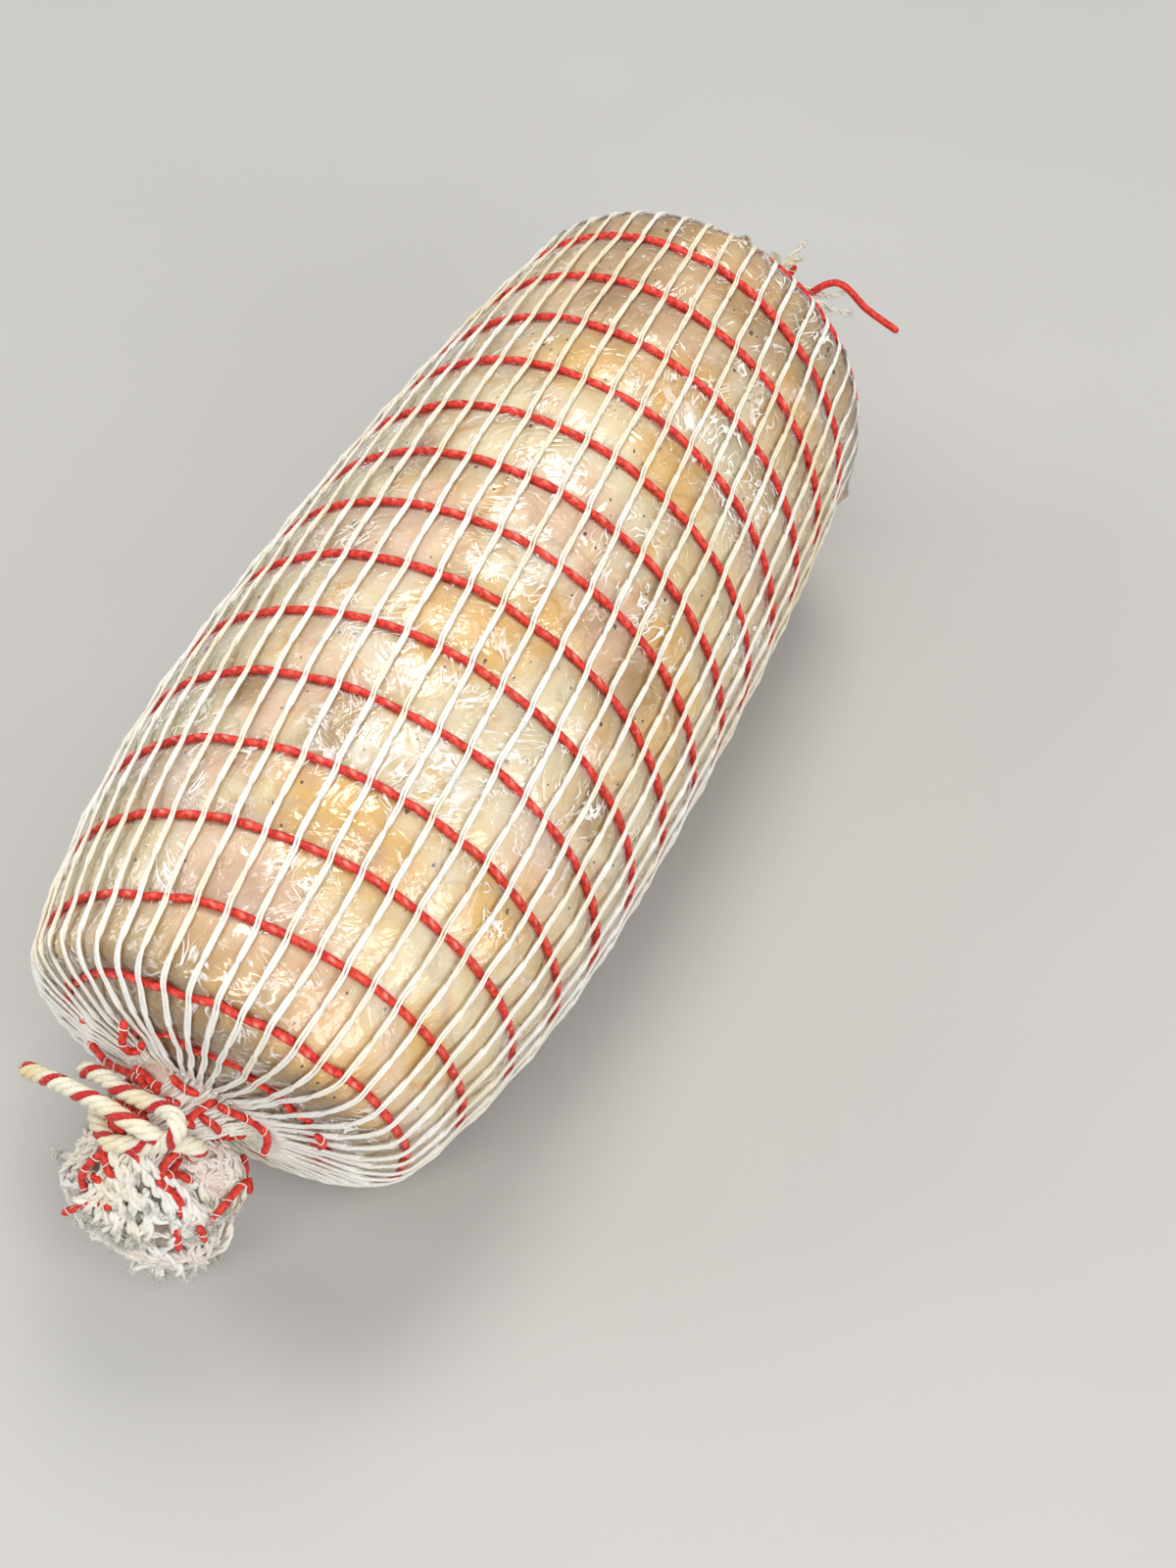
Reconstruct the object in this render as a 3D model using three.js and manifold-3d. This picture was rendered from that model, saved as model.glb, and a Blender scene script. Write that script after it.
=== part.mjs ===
// Chicken roulade in a knitted elastic net: a film-wrapped roll of meat lying on its side, with
// white strands along it, one red elastic cord wound round and round under them, and both ends
// of the net gathered. The near end is tied with twine and ends in a tuft of cut yarn.
// Millimetres. +X runs along the roll from the tied end to the far end, +Z is up, and the origin
// is on the table under the middle of the roll.
import * as THREE from "three";
import { mergeVertices } from "three/addons/utils/BufferGeometryUtils.js";
import Module from "manifold-3d";

const wasm = await Module();
wasm.setup();

// Roll: radii are to the middle of the red elastic
const ROLL_RADIUS = 51.7;
const AXIS_HEIGHT = 50;
const NEAR_POLE_X = -110;
const FAR_POLE_X = 113.4;
const WIDEST_X = -20.6;
const NEAR_TAPER = { drop: 10.8, over: 80, power: 2.5 };
const FAR_TAPER = { drop: 4.7, over: 100, power: 2 };
const NEAR_ROUNDING = { depth: 8.9, power: 2.3 };
const FAR_ROUNDING = { depth: 13.8, power: 2.66 };
// Millimetres that the top of each end face leans out for each millimetre above the axis
const END_LEAN = 0.11;
const END_LEAN_REACH = 85;

// Net: the elastic's pitch is measured along the skin, and the rounds lean and fan out
const ELASTIC_PITCH = 15.44;
const FIRST_ROUND_TOP = 38.2;
const ROUND_TOP_LEAN = 4.8;
const ROUND_FAN = 0.053;
const ROUND_FAN_MIDDLE = 122;
const STRAND_COUNT = 48;
const STRAND_TWIST_DEG_PER_MM = -0.12;
const NECK_ARC = 12.6;

// Heights above the middle of the elastic, from the groove in the meat out to the strands
const GROOVE_HEIGHT = -1.25;
const PILLOW_HEIGHT = 0.6;
const ELASTIC_INSIDE = -0.9;
const ELASTIC_OUTSIDE = 0.6;
const STRAND_INSIDE = 1.25;
const STRAND_OUTSIDE = 2.25;
const ELASTIC_WIDTH = 1.8;
const STRAND_WIDTH = 1.4;

// Facets
const COLUMNS = 32;
const STRAND_CHORD_ERROR = 0.26;

// Yarn, twine and elastic thicknesses
const TWINE_DIAMETER = 3.4;
const YARN_DIAMETER = 2.2;
const ELASTIC_DIAMETER = 1.7;
const FIT_GAP = 0.35;

const COLOURS = {
  wrappedMeat: { color: 0xd9c49a, roughness: 0.25, metalness: 0 },
  whiteYarn: { color: 0xf0ece0, roughness: 0.9, metalness: 0 },
  redElastic: { color: 0xcf3327, roughness: 0.45, metalness: 0 },
  twine: { color: 0xe9dcc0, roughness: 0.85, metalness: 0 },
};

const TURN = 2 * Math.PI;
const vec = (x, y, z) => new THREE.Vector3(x, y, z);

// Ties: where each end of the net is gathered to a neck
const NECK_LENGTH = 5.6;
const NEAR_TIE = { centre: vec(-122, 4.2, 52), axis: vec(-0.72, 0.22, -0.66).normalize(), neckRadius: 7.3 };
const FAR_TIE = { centre: vec(121, -2.4, 53.2), axis: vec(0.92, -0.2, 0.33).normalize(), neckRadius: 5.4 };

// Beyond the near tie: the hanging bundle, the fan of cut yarn, and the twine's knot and ends
const NEAR_BUNDLE = [
  { centre: vec(-124.4, 4.8, 44.5), radius: 8.6, stretch: 1.2 },
  { centre: vec(-126.2, 4.4, 37), radius: 9.8, stretch: 1.55 },
  { centre: vec(-127, 4, 28), radius: 9.4, stretch: 1.65 },
  { centre: vec(-127.4, 4, 20), radius: 6.4, stretch: 1.75 },
];
const NEAR_FAN = {
  centre: vec(-126.8, 4, 28),
  side: vec(0.4, -0.92, 0),
  across: 20,
  down: 18,
  count: 14,
  firstDeg: 165,
  lastDeg: 395,
};
const KNOT = { radius: 3.5, angleDeg: 130, shift: -4 };
const TWINE_END_A = [vec(-124.6, 7, 64.4), vec(-123.6, 18, 61.9), vec(-122.5, 29, 57)];
const TWINE_END_B = [vec(-120.6, 5.5, 63.2), vec(-119.2, 13, 61.5), vec(-118.6, 20.5, 58.5)];

// Beyond the far tie: the short tuft and the elastic's loose tail
const FAR_BUNDLE = [
  { centre: vec(125.8, -5.4, 57.2), radius: 5.6, stretch: 1.2 },
  { centre: vec(129.4, -9, 62.4), radius: 4.6, stretch: 1.4 },
];
const FAR_TIPS = [
  vec(131, -11.8, 71),
  vec(132, -17.2, 75.6),
  vec(135, -14, 68),
  vec(130, -3, 68),
  vec(135, -6, 60),
  vec(130, -27, 65),
  vec(131, -30.5, 62.2),
  vec(134, -18, 58),
];
const TAIL_START_DEG = 200;
const ELASTIC_TAIL = [vec(124.6, -17, 62), vec(131, -25.5, 69.6), vec(132.4, -34, 62.4), vec(130, -42.8, 61.2)];

// Share of the full radius at a distance in from an end's pole
function endRounding(distance, { depth, power }) {
  const left = 1 - THREE.MathUtils.clamp(distance / depth, 0, 1);
  return (1 - left ** power) ** (1 / power);
}

function taper(distance, { drop, over, power }) {
  return drop * (Math.max(distance, 0) / over) ** power;
}

function rollRadius(x) {
  const barrel = ROLL_RADIUS - taper(WIDEST_X - x, NEAR_TAPER) - taper(x - WIDEST_X, FAR_TAPER);
  const nearEnd = endRounding(x - NEAR_POLE_X, NEAR_ROUNDING);
  const farEnd = endRounding(FAR_POLE_X - x, FAR_ROUNDING);
  return barrel * nearEnd * farEnd;
}

// The roll's outline from pole to pole, by length along the skin
const outline = (() => {
  const samples = 4000;
  const middle = (NEAR_POLE_X + FAR_POLE_X) / 2;
  const half = (FAR_POLE_X - NEAR_POLE_X) / 2;
  const points = [];
  for (let i = 0; i <= samples; i++) {
    const x = middle - half * Math.cos((Math.PI * i) / samples);
    points.push({ x, r: rollRadius(x), along: 0 });
  }
  for (let i = 1; i <= samples; i++) {
    const step = Math.hypot(points[i].x - points[i - 1].x, points[i].r - points[i - 1].r);
    points[i].along = points[i - 1].along + step;
  }
  return points;
})();
const SKIN_LENGTH = outline[outline.length - 1].along;

function outlineAt(along) {
  const wanted = THREE.MathUtils.clamp(along, 0, SKIN_LENGTH);
  let low = 0;
  let high = outline.length - 1;
  while (high - low > 1) {
    const mid = (low + high) >> 1;
    if (outline[mid].along <= wanted) low = mid;
    else high = mid;
  }
  const a = outline[low];
  const b = outline[high];
  const t = (wanted - a.along) / (b.along - a.along);
  return { x: a.x + t * (b.x - a.x), r: a.r + t * (b.r - a.r) };
}

// Direction straight out of the skin, in the plane of the axis
function outwardAt(along) {
  const reach = 0.6;
  const a = outlineAt(along - reach);
  const b = outlineAt(along + reach);
  const length = Math.hypot(b.x - a.x, b.r - a.r);
  return { x: -(b.r - a.r) / length, r: (b.x - a.x) / length };
}

// How far the end faces lean at x, as millimetres along X for each millimetre above the axis
function leanAt(x) {
  const near = THREE.MathUtils.clamp((-x - (-NEAR_POLE_X - END_LEAN_REACH)) / END_LEAN_REACH, 0, 1);
  const far = THREE.MathUtils.clamp((x - (FAR_POLE_X - END_LEAN_REACH)) / END_LEAN_REACH, 0, 1);
  return END_LEAN * (far ** 2 - near ** 2);
}

// A point on the roll: a length along the skin, an angle round it (0 on the +Y side, a quarter
// turn at the top) and a height over the middle of the elastic. The table flattens it below.
function skinPoint(along, angle, height) {
  const { x, r } = outlineAt(along);
  const out = outwardAt(along);
  const radius = Math.max(r + height * out.r, 0);
  const side = radius * Math.cos(angle);
  const up = radius * Math.sin(angle);
  const floor = STRAND_OUTSIDE - height;
  return vec(x + height * out.x + leanAt(x) * up, side, Math.max(AXIS_HEIGHT + up, floor));
}

// Length along the skin at which the elastic passes an angle, after so many whole rounds
function roundAlong(rounds, angle) {
  const plain = FIRST_ROUND_TOP + ELASTIC_PITCH * (rounds - 1 + (angle - TURN / 4) / TURN);
  const { r } = outlineAt(plain);
  const fan = ROUND_FAN * (plain - ROUND_FAN_MIDDLE) * Math.cos(angle);
  const lean = ROUND_TOP_LEAN * (Math.sin(angle) - 1);
  return plain + (fan + lean) * (r / ROLL_RADIUS);
}

function strandAngle(number, along) {
  const middle = SKIN_LENGTH / 2;
  const start = TURN / 4 + (number * TURN) / STRAND_COUNT;
  return start + THREE.MathUtils.degToRad(STRAND_TWIST_DEG_PER_MM) * (along - middle);
}

// A closed surface from points and triangles, turned so that its faces point out
function closedGeometry(points, triangles) {
  let volume = 0;
  for (const [a, b, c] of triangles) {
    volume += points[a].dot(points[b].clone().cross(points[c]));
  }
  const index = triangles.flatMap(([a, b, c]) => (volume > 0 ? [a, b, c] : [a, c, b]));
  const geometry = new THREE.BufferGeometry().setFromPoints(points);
  geometry.setIndex(index);
  return geometry;
}

// A closed solid from rings of points with the same count, each end closed over its middle
function throughRings(rings) {
  const count = rings[0].length;
  const points = rings.flat();
  const triangles = [];
  for (let i = 0; i + 1 < rings.length; i++) {
    for (let j = 0; j < count; j++) {
      const a = i * count + j;
      const b = i * count + ((j + 1) % count);
      triangles.push([a, b, b + count], [a, b + count, a + count]);
    }
  }
  for (const [ring, first] of [[rings[0], 0], [rings.at(-1), (rings.length - 1) * count]]) {
    const middle = ring.reduce((sum, p) => sum.add(p), vec(0, 0, 0)).divideScalar(count);
    points.push(middle);
    for (let j = 0; j < count; j++) {
      const edge = [first + j, first + ((j + 1) % count)];
      triangles.push(first === 0 ? [points.length - 1, edge[1], edge[0]] : [points.length - 1, ...edge]);
    }
  }
  return closedGeometry(points, triangles);
}

// A ring of points round a centre, across a direction, starting on its +Y side, where it can
// be stretched
function ringAcross(centre, direction, radius, count, stretch = 1) {
  const along = direction.clone().normalize();
  const side = vec(0, 1, 0).addScaledVector(along, -along.y);
  if (side.length() < 0.3) side.set(0, 0, 1).addScaledVector(along, -along.z);
  side.normalize();
  const up = side.clone().cross(along);
  return Array.from({ length: count }, (_, j) => {
    const angle = (TURN * j) / count;
    return centre
      .clone()
      .addScaledVector(side, radius * stretch * Math.cos(angle))
      .addScaledVector(up, radius * Math.sin(angle));
  });
}

// A tube along a smooth curve through points, with one radius or a radius for each point
function tubeThrough(points, radii, sides, steps) {
  const curve = new THREE.CatmullRomCurve3(points);
  const rings = [];
  for (let i = 0; i <= steps; i++) {
    const t = i / steps;
    const place = t * (points.length - 1);
    const k = Math.min(Math.floor(place), points.length - 2);
    const radius = Array.isArray(radii)
      ? THREE.MathUtils.lerp(radii[k], radii[k + 1], place - k)
      : radii;
    rings.push(ringAcross(curve.getPoint(t), curve.getTangent(t), radius, sides));
  }
  return throughRings(rings);
}

function toSolid(geometry) {
  const plain = geometry.clone();
  plain.deleteAttribute("normal");
  plain.deleteAttribute("uv");
  const merged = mergeVertices(plain, 1e-4);
  return new wasm.Manifold(
    new wasm.Mesh({
      numProp: 3,
      vertProperties: merged.attributes.position.array,
      triVerts: new Uint32Array(merged.index.array),
    }),
  );
}

// One solid fused from several overlapping ones
function fused(geometries) {
  const solid = geometries.map(toSolid).reduce((sum, next) => sum.add(next));
  const mesh = solid.getMesh();
  const geometry = new THREE.BufferGeometry();
  geometry.setAttribute("position", new THREE.BufferAttribute(mesh.vertProperties, 3));
  geometry.setIndex(new THREE.BufferAttribute(mesh.triVerts, 1));
  return geometry;
}

// The film-wrapped meat: rows of points follow the elastic round and round, one row in its
// groove and the next on the pillow between two rounds, so each row starts where the row two
// before it ends.
function wrappedMeat() {
  const firstRound = -1;
  const rowCount = 2 * Math.floor((SKIN_LENGTH - FIRST_ROUND_TOP) / ELASTIC_PITCH + 1.5);
  const points = [];
  const at = (row, column) => row * COLUMNS + column;
  for (let row = 0; row < rowCount; row++) {
    const height = row % 2 ? PILLOW_HEIGHT : GROOVE_HEIGHT;
    for (let column = 0; column < COLUMNS; column++) {
      const angle = (TURN * column) / COLUMNS;
      points.push(skinPoint(roundAlong(firstRound + row / 2, angle), angle, height));
    }
  }
  const triangles = [];
  const quad = (a, b, c, d) => triangles.push([a, b, c], [a, c, d]);
  for (let row = 0; row + 1 < rowCount; row++) {
    for (let column = 0; column + 1 < COLUMNS; column++) {
      quad(at(row, column), at(row, column + 1), at(row + 1, column + 1), at(row + 1, column));
    }
    if (row + 3 < rowCount) {
      quad(at(row, COLUMNS - 1), at(row + 2, 0), at(row + 3, 0), at(row + 1, COLUMNS - 1));
    }
  }
  const last = rowCount - 1;
  const columns = [...Array(COLUMNS).keys()];
  const nearRim = [...columns.map((c) => at(0, c)), at(2, 0), at(1, 0)];
  const farRim = [...columns.map((c) => at(last, c)), at(last - 1, COLUMNS - 1), at(last - 2, COLUMNS - 1)];
  for (const [rim, along, forward] of [[nearRim, 0, false], [farRim, SKIN_LENGTH, true]]) {
    points.push(skinPoint(along, 0, GROOVE_HEIGHT));
    rim.forEach((a, i) => {
      const b = rim[(i + 1) % rim.length];
      triangles.push(forward ? [a, b, points.length - 1] : [b, a, points.length - 1]);
    });
  }
  return closedGeometry(points, triangles);
}

// The red elastic: one three-sided cord wound from the near neck to the far one
function elasticCord() {
  const firstStep = Math.ceil(COLUMNS * ((NECK_ARC + 3 - FIRST_ROUND_TOP) / ELASTIC_PITCH + 1.25));
  const lastStep = Math.floor(COLUMNS * ((SKIN_LENGTH - NECK_ARC - 3 - FIRST_ROUND_TOP) / ELASTIC_PITCH + 1.25));
  const rings = [];
  for (let step = firstStep; step <= lastStep; step++) {
    const rounds = Math.floor(step / COLUMNS);
    const angle = (TURN * (step - rounds * COLUMNS)) / COLUMNS;
    const along = roundAlong(rounds, angle);
    rings.push([
      skinPoint(along, angle, ELASTIC_INSIDE),
      skinPoint(along - ELASTIC_WIDTH / 2, angle, ELASTIC_OUTSIDE),
      skinPoint(along + ELASTIC_WIDTH / 2, angle, ELASTIC_OUTSIDE),
    ]);
  }
  return throughRings(rings);
}

// Lengths along the skin between which a straight strand stays close to the roll, both over its
// top and along its flattened underside
function strandStations() {
  const step = 1;
  const end = SKIN_LENGTH - NECK_ARC;
  const strays = (from, to) =>
    [TURN / 4, -TURN / 4].some((angle) => {
      const chord = new THREE.Line3(skinPoint(from, angle, STRAND_INSIDE), skinPoint(to, angle, STRAND_INSIDE));
      for (let s = from + step; s < to; s += step) {
        const point = skinPoint(s, angle, STRAND_INSIDE);
        const nearest = chord.closestPointToPoint(point, true, vec(0, 0, 0));
        if (nearest.distanceTo(point) > STRAND_CHORD_ERROR) return true;
      }
      return false;
    });
  const stations = [NECK_ARC];
  for (let s = NECK_ARC + step; s < end; s += step) {
    if (strays(stations.at(-1), s + step)) stations.push(s);
  }
  stations.push(end);
  return stations;
}

// One white strand: a three-sided cord with its flat side out
function strand(number, stations) {
  return throughRings(
    stations.map((along) => {
      const angle = strandAngle(number, along);
      const half = STRAND_WIDTH / 2 / outlineAt(along).r;
      return [
        skinPoint(along, angle, STRAND_INSIDE),
        skinPoint(along, angle - half, STRAND_OUTSIDE),
        skinPoint(along, angle + half, STRAND_OUTSIDE),
      ];
    }),
  );
}

// A place on or beside a tie: an angle round its axis (0 on the +Y side), a distance from the
// axis, and a shift along it, away from the roll
function besideTie({ centre, axis }, angleDeg, distance, shift = 0) {
  const across = ringAcross(centre, axis, distance, 360)[THREE.MathUtils.euclideanModulo(angleDeg, 360)];
  return across.addScaledVector(axis, shift);
}

function tieRadius(tie, cordDiameter) {
  return tie.neckRadius + FIT_GAP + cordDiameter / 2;
}

// A closed hoop of cord laid round the neck of a tie
function hoop(tie, cordDiameter, steps, sides) {
  const ring = new THREE.TorusGeometry(tieRadius(tie, cordDiameter), cordDiameter / 2, sides, steps);
  const turn = new THREE.Quaternion().setFromUnitVectors(vec(0, 0, 1), tie.axis);
  return ring.applyQuaternion(turn).translate(...tie.centre.toArray());
}

// A gathered end of the net: the strands close in from the end face to the neck of the tie,
// which opens out again into a bundle given section by section.
function gatheredCore(baseAlong, tie, bundle) {
  const sides = 16;
  const farEnd = baseAlong > SKIN_LENGTH / 2;
  const base = Array.from({ length: sides }, (_, j) =>
    skinPoint(baseAlong, (TURN * j) / sides, STRAND_INSIDE),
  );
  const throughNeck = [-NECK_LENGTH, 0, NECK_LENGTH].map((shift) => ({
    centre: tie.centre.clone().addScaledVector(tie.axis, shift / 2),
    radius: tie.neckRadius,
    stretch: 1,
    direction: tie.axis,
  }));
  const throughBundle = bundle.map((section, i) => {
    const before = i ? bundle[i - 1].centre : tie.centre;
    return { ...section, direction: section.centre.clone().sub(before).normalize() };
  });
  const rings = [...throughNeck, ...throughBundle].map(({ centre, radius, stretch, direction }) => {
    const ring = ringAcross(centre, direction, radius, sides, stretch);
    return farEnd ? mirrored(ring) : ring;
  });
  return throughRings([base, ...rings]);
}

// The same ring gone round the other way from the same start
function mirrored(ring) {
  return ring.map((_, i) => ring[(ring.length - i) % ring.length]);
}

// Cut yarn ends that spread from a root to tips, with a slight bend in each
function yarnEnds(root, tips) {
  return tips.map((tip, i) => {
    const middle = root.clone().lerp(tip, 0.6);
    middle.z += 2 * Math.cos(2.4 * i);
    middle.y += 2 * Math.sin(2.4 * i);
    return tubeThrough([root, middle, tip], YARN_DIAMETER / 2, 5, 3);
  });
}

// The near net end: neck, bundle and a fan of cut yarn round and below it
function nearNetEnd() {
  const { centre, across, down, count, firstDeg, lastDeg } = NEAR_FAN;
  const tips = Array.from({ length: count }, (_, i) => {
    const angle = THREE.MathUtils.degToRad(THREE.MathUtils.lerp(firstDeg, lastDeg, i / (count - 1)));
    const reach = 1 + 0.07 * Math.cos(5 * i);
    return centre
      .clone()
      .addScaledVector(NEAR_FAN.side, across * reach * Math.cos(angle))
      .add(vec(3.5 * Math.cos(3 * i), 0, down * reach * Math.sin(angle)));
  });
  return fused([gatheredCore(NECK_ARC - 0.7, NEAR_TIE, NEAR_BUNDLE), ...yarnEnds(NEAR_BUNDLE[1].centre, tips)]);
}

function farNetEnd() {
  const core = gatheredCore(SKIN_LENGTH - NECK_ARC + 0.7, FAR_TIE, FAR_BUNDLE);
  return fused([core, ...yarnEnds(FAR_BUNDLE[0].centre, FAR_TIPS)]);
}

// The twine: a wrap round the neck, a knot on its upper side and two loose ends
function twine() {
  const radius = TWINE_DIAMETER / 2;
  const knotCentre = besideTie(NEAR_TIE, KNOT.angleDeg, tieRadius(NEAR_TIE, 2 * KNOT.radius), KNOT.shift);
  const knot = new THREE.IcosahedronGeometry(KNOT.radius, 1);
  return fused([
    hoop(NEAR_TIE, TWINE_DIAMETER, 20, 8),
    knot.translate(...knotCentre.toArray()),
    tubeThrough([knotCentre, ...TWINE_END_A], radius, 8, 6),
    tubeThrough([knotCentre, ...TWINE_END_B], radius, 8, 5),
  ]);
}

// The elastic's far end: wound once round the neck, with its loose tail standing out
function elasticTail() {
  const start = besideTie(FAR_TIE, TAIL_START_DEG, tieRadius(FAR_TIE, ELASTIC_DIAMETER));
  const radius = ELASTIC_DIAMETER / 2;
  return fused([hoop(FAR_TIE, ELASTIC_DIAMETER, 18, 6), tubeThrough([start, ...ELASTIC_TAIL], radius, 6, 12)]);
}

function named(name, geometry, look) {
  const mesh = new THREE.Mesh(geometry, new THREE.MeshStandardMaterial(look));
  mesh.name = name;
  return mesh;
}

function chickenRoulade() {
  const roulade = new THREE.Group();
  const net = new THREE.Group();
  const stations = strandStations();
  for (let number = 0; number < STRAND_COUNT; number++) {
    const name = `strand_${String(number + 1).padStart(2, "0")}`;
    net.add(named(name, strand(number, stations), COLOURS.whiteYarn));
  }
  net.add(named("elastic", elasticCord(), COLOURS.redElastic));
  net.add(named("elastic_tail", elasticTail(), COLOURS.redElastic));
  net.add(named("near_net_end", nearNetEnd(), COLOURS.whiteYarn));
  net.add(named("far_net_end", farNetEnd(), COLOURS.whiteYarn));
  roulade.add(named("wrapped_meat", wrappedMeat(), COLOURS.wrappedMeat));
  roulade.add(net);
  roulade.add(named("twine", twine(), COLOURS.twine));
  return roulade;
}

export default chickenRoulade();
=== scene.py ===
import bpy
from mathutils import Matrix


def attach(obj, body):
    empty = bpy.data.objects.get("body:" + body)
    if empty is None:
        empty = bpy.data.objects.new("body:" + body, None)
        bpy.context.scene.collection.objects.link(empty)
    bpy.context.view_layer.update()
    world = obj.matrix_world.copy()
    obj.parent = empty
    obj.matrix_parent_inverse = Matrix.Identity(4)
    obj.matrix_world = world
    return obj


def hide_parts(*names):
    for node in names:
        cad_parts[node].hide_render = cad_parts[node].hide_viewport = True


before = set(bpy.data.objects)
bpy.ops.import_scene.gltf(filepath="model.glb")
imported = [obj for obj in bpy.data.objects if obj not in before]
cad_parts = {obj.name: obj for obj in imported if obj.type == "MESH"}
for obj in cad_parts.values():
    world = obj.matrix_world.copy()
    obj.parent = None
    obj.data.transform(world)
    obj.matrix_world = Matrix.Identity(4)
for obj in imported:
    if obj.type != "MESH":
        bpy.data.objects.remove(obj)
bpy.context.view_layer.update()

import math

import bpy
import numpy as np
from mathutils import Matrix, Vector
from mathutils.bvhtree import BVHTree

MM = 0.001
TURN = 2 * math.pi

# Roll: radii are to the middle of the red elastic, in millimetres
ROLL_RADIUS = 51.7
AXIS_HEIGHT = 50.0
NEAR_POLE_X = -110.0
FAR_POLE_X = 113.4
WIDEST_X = -20.6
# How much thinner it is 80 mm before and 100 mm after its widest place
NEAR_TAPER = 10.8
FAR_TAPER = 4.7
# The depth and the power of each end's rounding
NEAR_END = (8.9, 2.3)
FAR_END = (13.8, 2.66)
END_LEAN = 0.11
END_LEAN_REACH = 85.0

# Net
ELASTIC_PITCH = 15.44
FIRST_ROUND_TOP = 38.2
ROUND_TOP_LEAN = 4.8
ROUND_FAN = 0.053
ROUND_FAN_MIDDLE = 122.0
STRAND_COUNT = 48
STRAND_TWIST = math.radians(-0.12)
NECK_ARC = 12.6
FAR_RIM_ARC = 50.0
NET_OUTSIDE = 2.25
ELASTIC_RADIUS = 0.8
# The elastic's rounds are numbered from before the near pole to after the far one
ROUNDS = np.arange(-3, 22)

# Ties: where each end of the net is gathered to a neck
NECK_LENGTH = 5.6
FIT_GAP = 0.35
TWINE_RADIUS = 1.7


class Tie:
    """A neck of the gathered net: a centre, an axis that points away from the roll, a radius."""

    def __init__(self, centre, axis, neck_radius):
        self.centre = np.array(centre, float)
        self.axis = np.array(axis, float) / np.linalg.norm(axis)
        self.neck_radius = neck_radius
        self.side, self.up = across_frame(self.axis)

    def beside(self, angle, distance, shift=0.0):
        """Points at angles round the axis, with 0 on the +Y side and a quarter turn on top."""
        angle, distance, shift = np.broadcast_arrays(angle, distance, shift)
        across = np.cos(angle)[..., None] * self.side + np.sin(angle)[..., None] * self.up
        return self.centre + distance[..., None] * across + shift[..., None] * self.axis


def across_frame(axis):
    """Two directions across an axis: the first near +Y, the second as near +Z as it can be."""
    side = np.array([0.0, 1.0, 0.0]) - axis[1] * axis
    side /= np.linalg.norm(side)
    up = np.cross(side, axis)
    return side, up if up[2] > 0 else -up


NEAR_TIE = Tie((-122, 4.2, 52), (-0.72, 0.22, -0.66), 7.3)
FAR_TIE = Tie((121, -2.4, 53.2), (0.92, -0.2, 0.33), 5.4)
# Bundles beyond the ties: centre, radius, and how much wider it is along Y
NEAR_BUNDLE = [
    ((-124.4, 4.8, 44.5), 8.6, 1.2),
    ((-126.2, 4.4, 37), 9.8, 1.55),
    ((-127, 4, 28), 9.4, 1.65),
    ((-127.4, 4, 20), 6.4, 1.75),
]
FAR_BUNDLE = [((125.8, -5.4, 57.2), 5.6, 1.2), ((129.4, -9, 62.4), 4.6, 1.4)]
FAR_TIPS = [
    (131, -11.8, 71),
    (132, -17.2, 75.6),
    (135, -14, 68),
    (130, -3, 68),
    (135, -6, 60),
    (130, -27, 65),
    (131, -30.5, 62.2),
    (134, -18, 58),
]
ELASTIC_TAIL = [(124.6, -17, 62), (131, -25.5, 68.5), (132.4, -34, 62.4), (130, -42.8, 61.2)]
TAIL_START = math.radians(200)


# The photograph's view. Its places are named by pixels of a frame that is 1200 wide and 1600 high

VIEW_AZIMUTH = math.radians(26.73)
VIEW_DROP = math.radians(54.583)
VIEW_TARGET = np.array([-12.88, -32.85, 50.0])
VIEW_DISTANCE = 446.93
PHOTO_MIDDLE = np.array([600, 800])
PHOTO_FOCAL = 2200.0
LEVEL = math.cos(VIEW_DROP)
FORWARD = np.array([math.cos(VIEW_AZIMUTH) * LEVEL, math.sin(VIEW_AZIMUTH) * LEVEL, -math.sin(VIEW_DROP)])
RIGHT = np.cross(FORWARD, (0, 0, 1)) / LEVEL
UP = np.cross(RIGHT, FORWARD)
EYE = VIEW_TARGET - VIEW_DISTANCE * FORWARD
TUFT_MIDDLE = np.array([-127.0, 4.0, 30.0])
PIXELS_PER_MM = PHOTO_FOCAL / VIEW_DISTANCE
# The most that a draped cord runs into the picture for each millimetre across it
STEEPEST_SPAN = 1.1
# The least that a surface faces the camera where a cord's lift over it is worked out
LEAST_FACING = 0.25


def sight(pixel):
    """From the camera to a pixel, as far as one millimetre of depth."""
    across, down = (np.array(pixel[:2]) - PHOTO_MIDDLE) / PHOTO_FOCAL
    return FORWARD + across * RIGHT - down * UP


def pixels_of(points):
    """The pixels at which points are seen."""
    offset = points - EYE
    depth = offset @ FORWARD
    return np.stack([offset @ RIGHT / depth, -(offset @ UP) / depth], axis=-1) * PHOTO_FOCAL + PHOTO_MIDDLE


def in_front_of(point, places):
    """Places given as a pixel and a distance toward the camera from the plane through a point."""
    depth = (point - EYE) @ FORWARD
    return np.array([EYE + sight(place) * (depth - place[2]) for place in places])


def carrier(name):
    node = bpy.data.objects[name]
    corners = [node.matrix_world @ vertex.co for vertex in node.data.vertices]
    return BVHTree.FromPolygons(corners, [tuple(face.vertices) for face in node.data.polygons])


bpy.context.view_layer.update()
NET_END, MEAT = carrier("near_net_end"), carrier("wrapped_meat")


def sight_length(direction, lift, carriers):
    """How far a line from the camera runs until it is a little over what carries it, or nan beside it."""
    nearest = math.nan
    for tree in carriers:
        _, normal, _, distance = tree.ray_cast(Vector(EYE * MM), Vector(direction))
        if normal is not None:
            facing = max(abs(normal.dot(Vector(direction))), LEAST_FACING)
            nearest = np.nanmin([nearest, distance / MM - lift / facing])
    return nearest


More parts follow.
